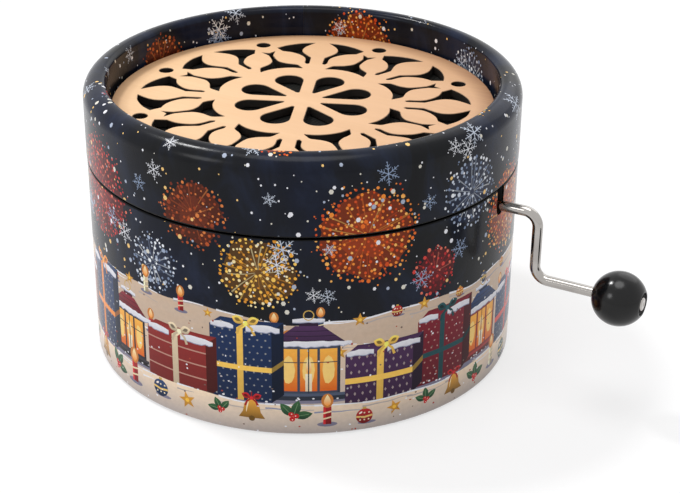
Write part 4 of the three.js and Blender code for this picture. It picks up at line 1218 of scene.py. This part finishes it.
def slotTool(top):
    # the slot as a solid: a cylinder for its round foot and a block above
    out, height = slot["wall"] * mm, slot["height"]
    bpy.ops.object.select_all(action="DESELECT")
    edit.primitive_cylinder_add(vertices=32, radius=slot["radius"] * mm, depth=slot["deep"] * mm,
                                location=(out, 0, height * mm), rotation=(0, math.pi / 2, 0))
    tool = bpy.context.object
    bpy.ops.object.transform_apply(location=True, rotation=True, scale=True)
    edit.primitive_cube_add(size=1, location=(out, 0, (height + top + 1) / 2 * mm))
    block = bpy.context.object
    block.scale = (slot["deep"] * mm, 2 * slot["radius"] * mm, (top + 1 - height) * mm)
    bpy.ops.object.transform_apply(location=True, rotation=True, scale=True)
    cutAway(tool, block, "UNION")
    return tool


def tube(bore, radius, bottom, top, r=0.25):
    return [(bore + r, bottom), (radius - r, bottom), (radius, bottom + r), (radius, top - r),
            (radius - r, top), (bore + r, top), (bore, top - r), (bore, bottom + r)]


boardSteps = 144
boards = {
    # name: (finish, body, node, section, slot's top)
    "neckRing": ("black_board", "base", "neck_tube", tube(48.3, 49.8, 3.3, 56.7), 56.7),
    "wallTube": ("black_board", "base", "base_tube", tube(50.0, 52.0, 0.8, 50.0), 50.0),
    "spacerRing": ("grey_board", "base", "deck_spacer", tube(46.7, 48.2, 3.3, 23.9), None),
    "ledgeRing": ("black_board", "lid", "grille_ledge", tube(43.6, 50.0, 57.0, 60.0), None),
    "linerRing": ("grey_board", "lid", "lid_liner", [
        (47.3, 60.0), (50.0, 60.0), (50.0, 68.6), (49.2, 68.9), (48.4, 68.97), (47.9, 68.85),
        (47.5, 68.45), (47.3, 67.9)], None),
    "lidRing": ("grey_board", "lid", "lid_tube", [
        (50.1, 51.1), (52.1, 51.1), (52.1, 65.4), (51.8, 66.8), (51.0, 67.95), (50.1, 68.55)], None),
    "bottomCard": ("black_board", "base", "bottom_card", [
        (0, 0), (49.1, 0), (49.4, 0.2), (49.4, 0.6), (49.2, 0.8), (0, 0.8)], None),
    "bottomBoard": ("grey_board", "base", "base_board", [(0, 0.8), (49.7, 0.8), (49.7, 3.3), (0, 3.3)], None),
}
for name, (material, body, node, section, slotTop) in boards.items():
    piece = turned(name, section, boardSteps, material)
    if slotTop:
        cutAway(piece, slotTool(slotTop))
    carried(piece, body, material, node)
print("tubes and boards ready")

# Backing cloth, stretched under the rosette
clothSection = [(0, 59.4), (43.2, 59.4), (43.3, 59.5), (43.3, 59.6), (43.2, 59.7), (30, 59.65), (15, 59.62),
                (0, 59.61)]
sheet = turned("backingCloth", clothSection, 96, "backing_cloth")
carried(sheet, "lid", "backing_cloth", "grille_cloth")

# Crank: one wire with two bends, and the ball on its end
crankWire = {
    "radius": 1.25, "start": -2.0, "arm": 62.0, "bend": 3.4, "drop": 16.6, "end": 87.9, "height": 46.0,
    "bendSteps": 16,
}


def bentWire():
    arm, bend, drop = [crankWire[key] for key in ("arm", "bend", "drop")]
    steps = crankWire["bendSteps"]
    turns = [polar(bend, math.pi / 2 * step / steps) for step in range(steps + 1)]
    stations = [(crankWire["start"], 0.0)]
    stations += [(arm - bend + sin, cos - bend) for cos, sin in turns]
    stations += [(arm + bend - cos, bend - sin - drop) for cos, sin in turns]
    stations.append((crankWire["end"], -drop))
    curve = bpy.data.curves.new("crankWire", "CURVE")
    curve.dimensions = "3D"
    curve.bevel_depth = crankWire["radius"] * mm
    curve.bevel_resolution = 10
    curve.use_fill_caps = True
    line = curve.splines.new("POLY")
    line.points.add(len(stations) - 1)
    for point, (x, z) in zip(line.points, stations):
        point.co = (x * mm, 0, (z + crankWire["height"]) * mm, 1)
    chosen(added("crankWire", curve))
    bpy.ops.object.convert(target="MESH")
    piece = bpy.context.object
    joined()
    edit.normals_make_consistent(inside=False)
    smoothed(40)
    piece.data.materials.clear()
    piece.data.materials.append(finish["chrome_wire"])
    return piece


wirePiece = bentWire()
handleHeight = crankWire["height"] - crankWire["drop"]
peenSection = [
    (0, -0.4), (1.2, -0.4), (1.25, 0), (1.5, 0), (1.6, 0.1), (1.6, 0.4), (1.54, 0.64), (1.38, 0.77),
    (1.15, 0.8), (0.66, 0.8), (0.55, 0.76), (0.45, 0.6), (0, 0.52)]
peen = turned("wireEnd", peenSection, 48, "chrome_wire", "X", (crankWire["end"], 0, handleHeight), 50)
carried(wirePiece, "crank", "chrome_wire", "crank_rod")
carried(peen, "crank", "chrome_wire")

ball = {
    "radius": 6.4, "bore": 1.37, "counterbore": 2.7, "lip": 0.22, "floor": 4.9, "steps": 48,
    "centre": (82.9, 0, handleHeight),
}


def ballSection():
    # from the bore's inner mouth over the ball to the counterbore
    radius, bore, wide, floorAt = [ball[key] for key in ("radius", "bore", "counterbore", "floor")]
    first = -math.acos((bore + ball["lip"]) / radius)
    last = math.acos((wide + ball["lip"]) / radius)
    section = [polar(radius, first + (last - first) * k / ball["steps"]) for k in range(ball["steps"] + 1)]
    mouth = section[-1][1]
    return section + [(wide + 0.06, mouth - 0.06), (wide, mouth - 0.22), (wide, floorAt + 0.15),
                      (wide - 0.15, floorAt), (bore, floorAt), (bore, section[0][1] + 0.1)]


knob = turned("ballKnob", ballSection(), 96, "black_ball", "X", ball["centre"], 50)
carried(knob, "knob", "black_ball", "crank_knob")
print("crank ready")


# Movement: copies of the cast, stamped and ground parts with their edges broken
def refined(node, name, material, body, bevel, angle=38):
    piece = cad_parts[node].copy()
    piece.data = piece.data.copy()
    piece.name = piece.data.name = name
    piece.parent = None
    for key in list(piece.keys()):
        del piece[key]
    bpy.context.scene.collection.objects.link(piece)
    chosen(piece)
    joined(0.003)
    edit.dissolve_limited(angle_limit=math.radians(1))
    bpy.ops.object.mode_set(mode="OBJECT")
    if bevel:
        modified(piece, "BEVEL", width=bevel * mm, segments=2, limit_method="ANGLE",
                 angle_limit=math.radians(angle), use_clamp_overlap=True)
    smoothed(angle)
    piece.data.materials.clear()
    piece.data.materials.append(finish[material])
    carried(piece, body, material, node)


movement = [
    # node, name, finish, body, bevel, and a smoothing angle where it isn't 38
    ("sound_deck", "soundDeck", "lime_wood", "base", 0.2),
    ("bedplate", "bedPlate", "cast_zinc", "base", 0.3),
    ("comb", "tunedComb", "comb_steel", "base", 0.05),
    ("crank_bracket", "shaftBracket", "bracket_steel", "base", 0.18),
    ("crank_bush_inner", "bushInner", "brass", "base", 0.1),
    ("crank_bush_outer", "bushOuter", "brass", "base", 0.1),
    ("cylinder_cap_near", "capNear", "brass", "cylinder", 0.15),
    ("cylinder_cap_far", "capFar", "brass", "cylinder", 0.15),
    ("cylinder_arbor", "arbor", "comb_steel", "cylinder", 0.08),
    ("arbor_clip", "arborClip", "screw_steel", "cylinder", 0.05),
    ("worm_wheel", "wormWheel", "brass", "cylinder", 0.08, 30),
    ("worm", "wormThread", "comb_steel", "crank", 0.0, 50),
    ("rod_clip", "rodClip", "screw_steel", "crank", 0.05),
]
for kind, count, bevel in (("deck", 3, 0.15), ("comb", 2, 0.15), ("bracket", 2, 0.12)):
    movement += [(f"{kind}_screw_{k}", f"{kind}Screw{k}", "screw_steel", "base", bevel, 42)
                 for k in range(1, count + 1)]
for item in movement:
    refined(*item)
print("movement ready")

pins = {
    "radius": 6.5, "bore": 5.8, "tall": 0.8, "thick": 0.26, "long": 1.0, "bevel": 0.05,
    "tracks": 18, "perTrack": 4, "stagger": 72, "extra": 9, "places": 48, "first": 3.9, "pitch": 1.08,
    "x": 10.0, "z": 38.0, "ends": (3.0, 24.24), "edge": 0.1,
}


def pinnedBarrel():
    near, far = pins["ends"]
    wide, edge = pins["radius"], pins["edge"]
    section = [(pins["bore"], near), (wide - edge, near), (wide, near + edge), (wide, far - edge),
               (wide - edge, far), (pins["bore"], far)]
    barrel = turned("pinnedBarrel", section, 96, "brass", "Y", (pins["x"], 0, pins["z"]))
    bpy.ops.object.select_all(action="DESELECT")
    edit.primitive_cylinder_add(vertices=8, radius=pins["thick"] * mm, depth=pins["long"] * mm,
                                location=(0, 0, (wide + pins["tall"] - pins["long"] / 2) * mm))
    pin = bpy.context.object
    bpy.ops.object.transform_apply(location=True, rotation=True, scale=True)
    modified(pin, "BEVEL", width=pins["bevel"] * mm, segments=1)
    pin.data.materials.append(finish["comb_steel"])
    chance = random.Random(3)
    copies = [barrel]
    for track in range(pins["tracks"]):
        shares = [k / pins["perTrack"] + track ** 2 / pins["stagger"] for k in range(pins["perTrack"])]
        shares += [chance.randrange(pins["places"]) / pins["places"] for _ in range(pins["extra"])]
        spot = Vector((pins["x"], pins["first"] + pins["pitch"] * (track + 0.5), pins["z"])) * mm
        for share in shares:
            copy = added(pin.name, pin.data.copy())
            copy.data.transform(Matrix.Translation(spot) @ Matrix.Rotation(2 * math.pi * share, 4, "Y"))
            copies.append(copy)
    bpy.data.objects.remove(pin)
    chosen(barrel)
    for copy in copies:
        copy.select_set(True)
    bpy.ops.object.join()
    smoothed(35)
    return barrel


barrel = pinnedBarrel()
carried(barrel, "cylinder", "brass", "pinned_cylinder")
print("barrel ready:", len(barrel.data.polygons), "faces")
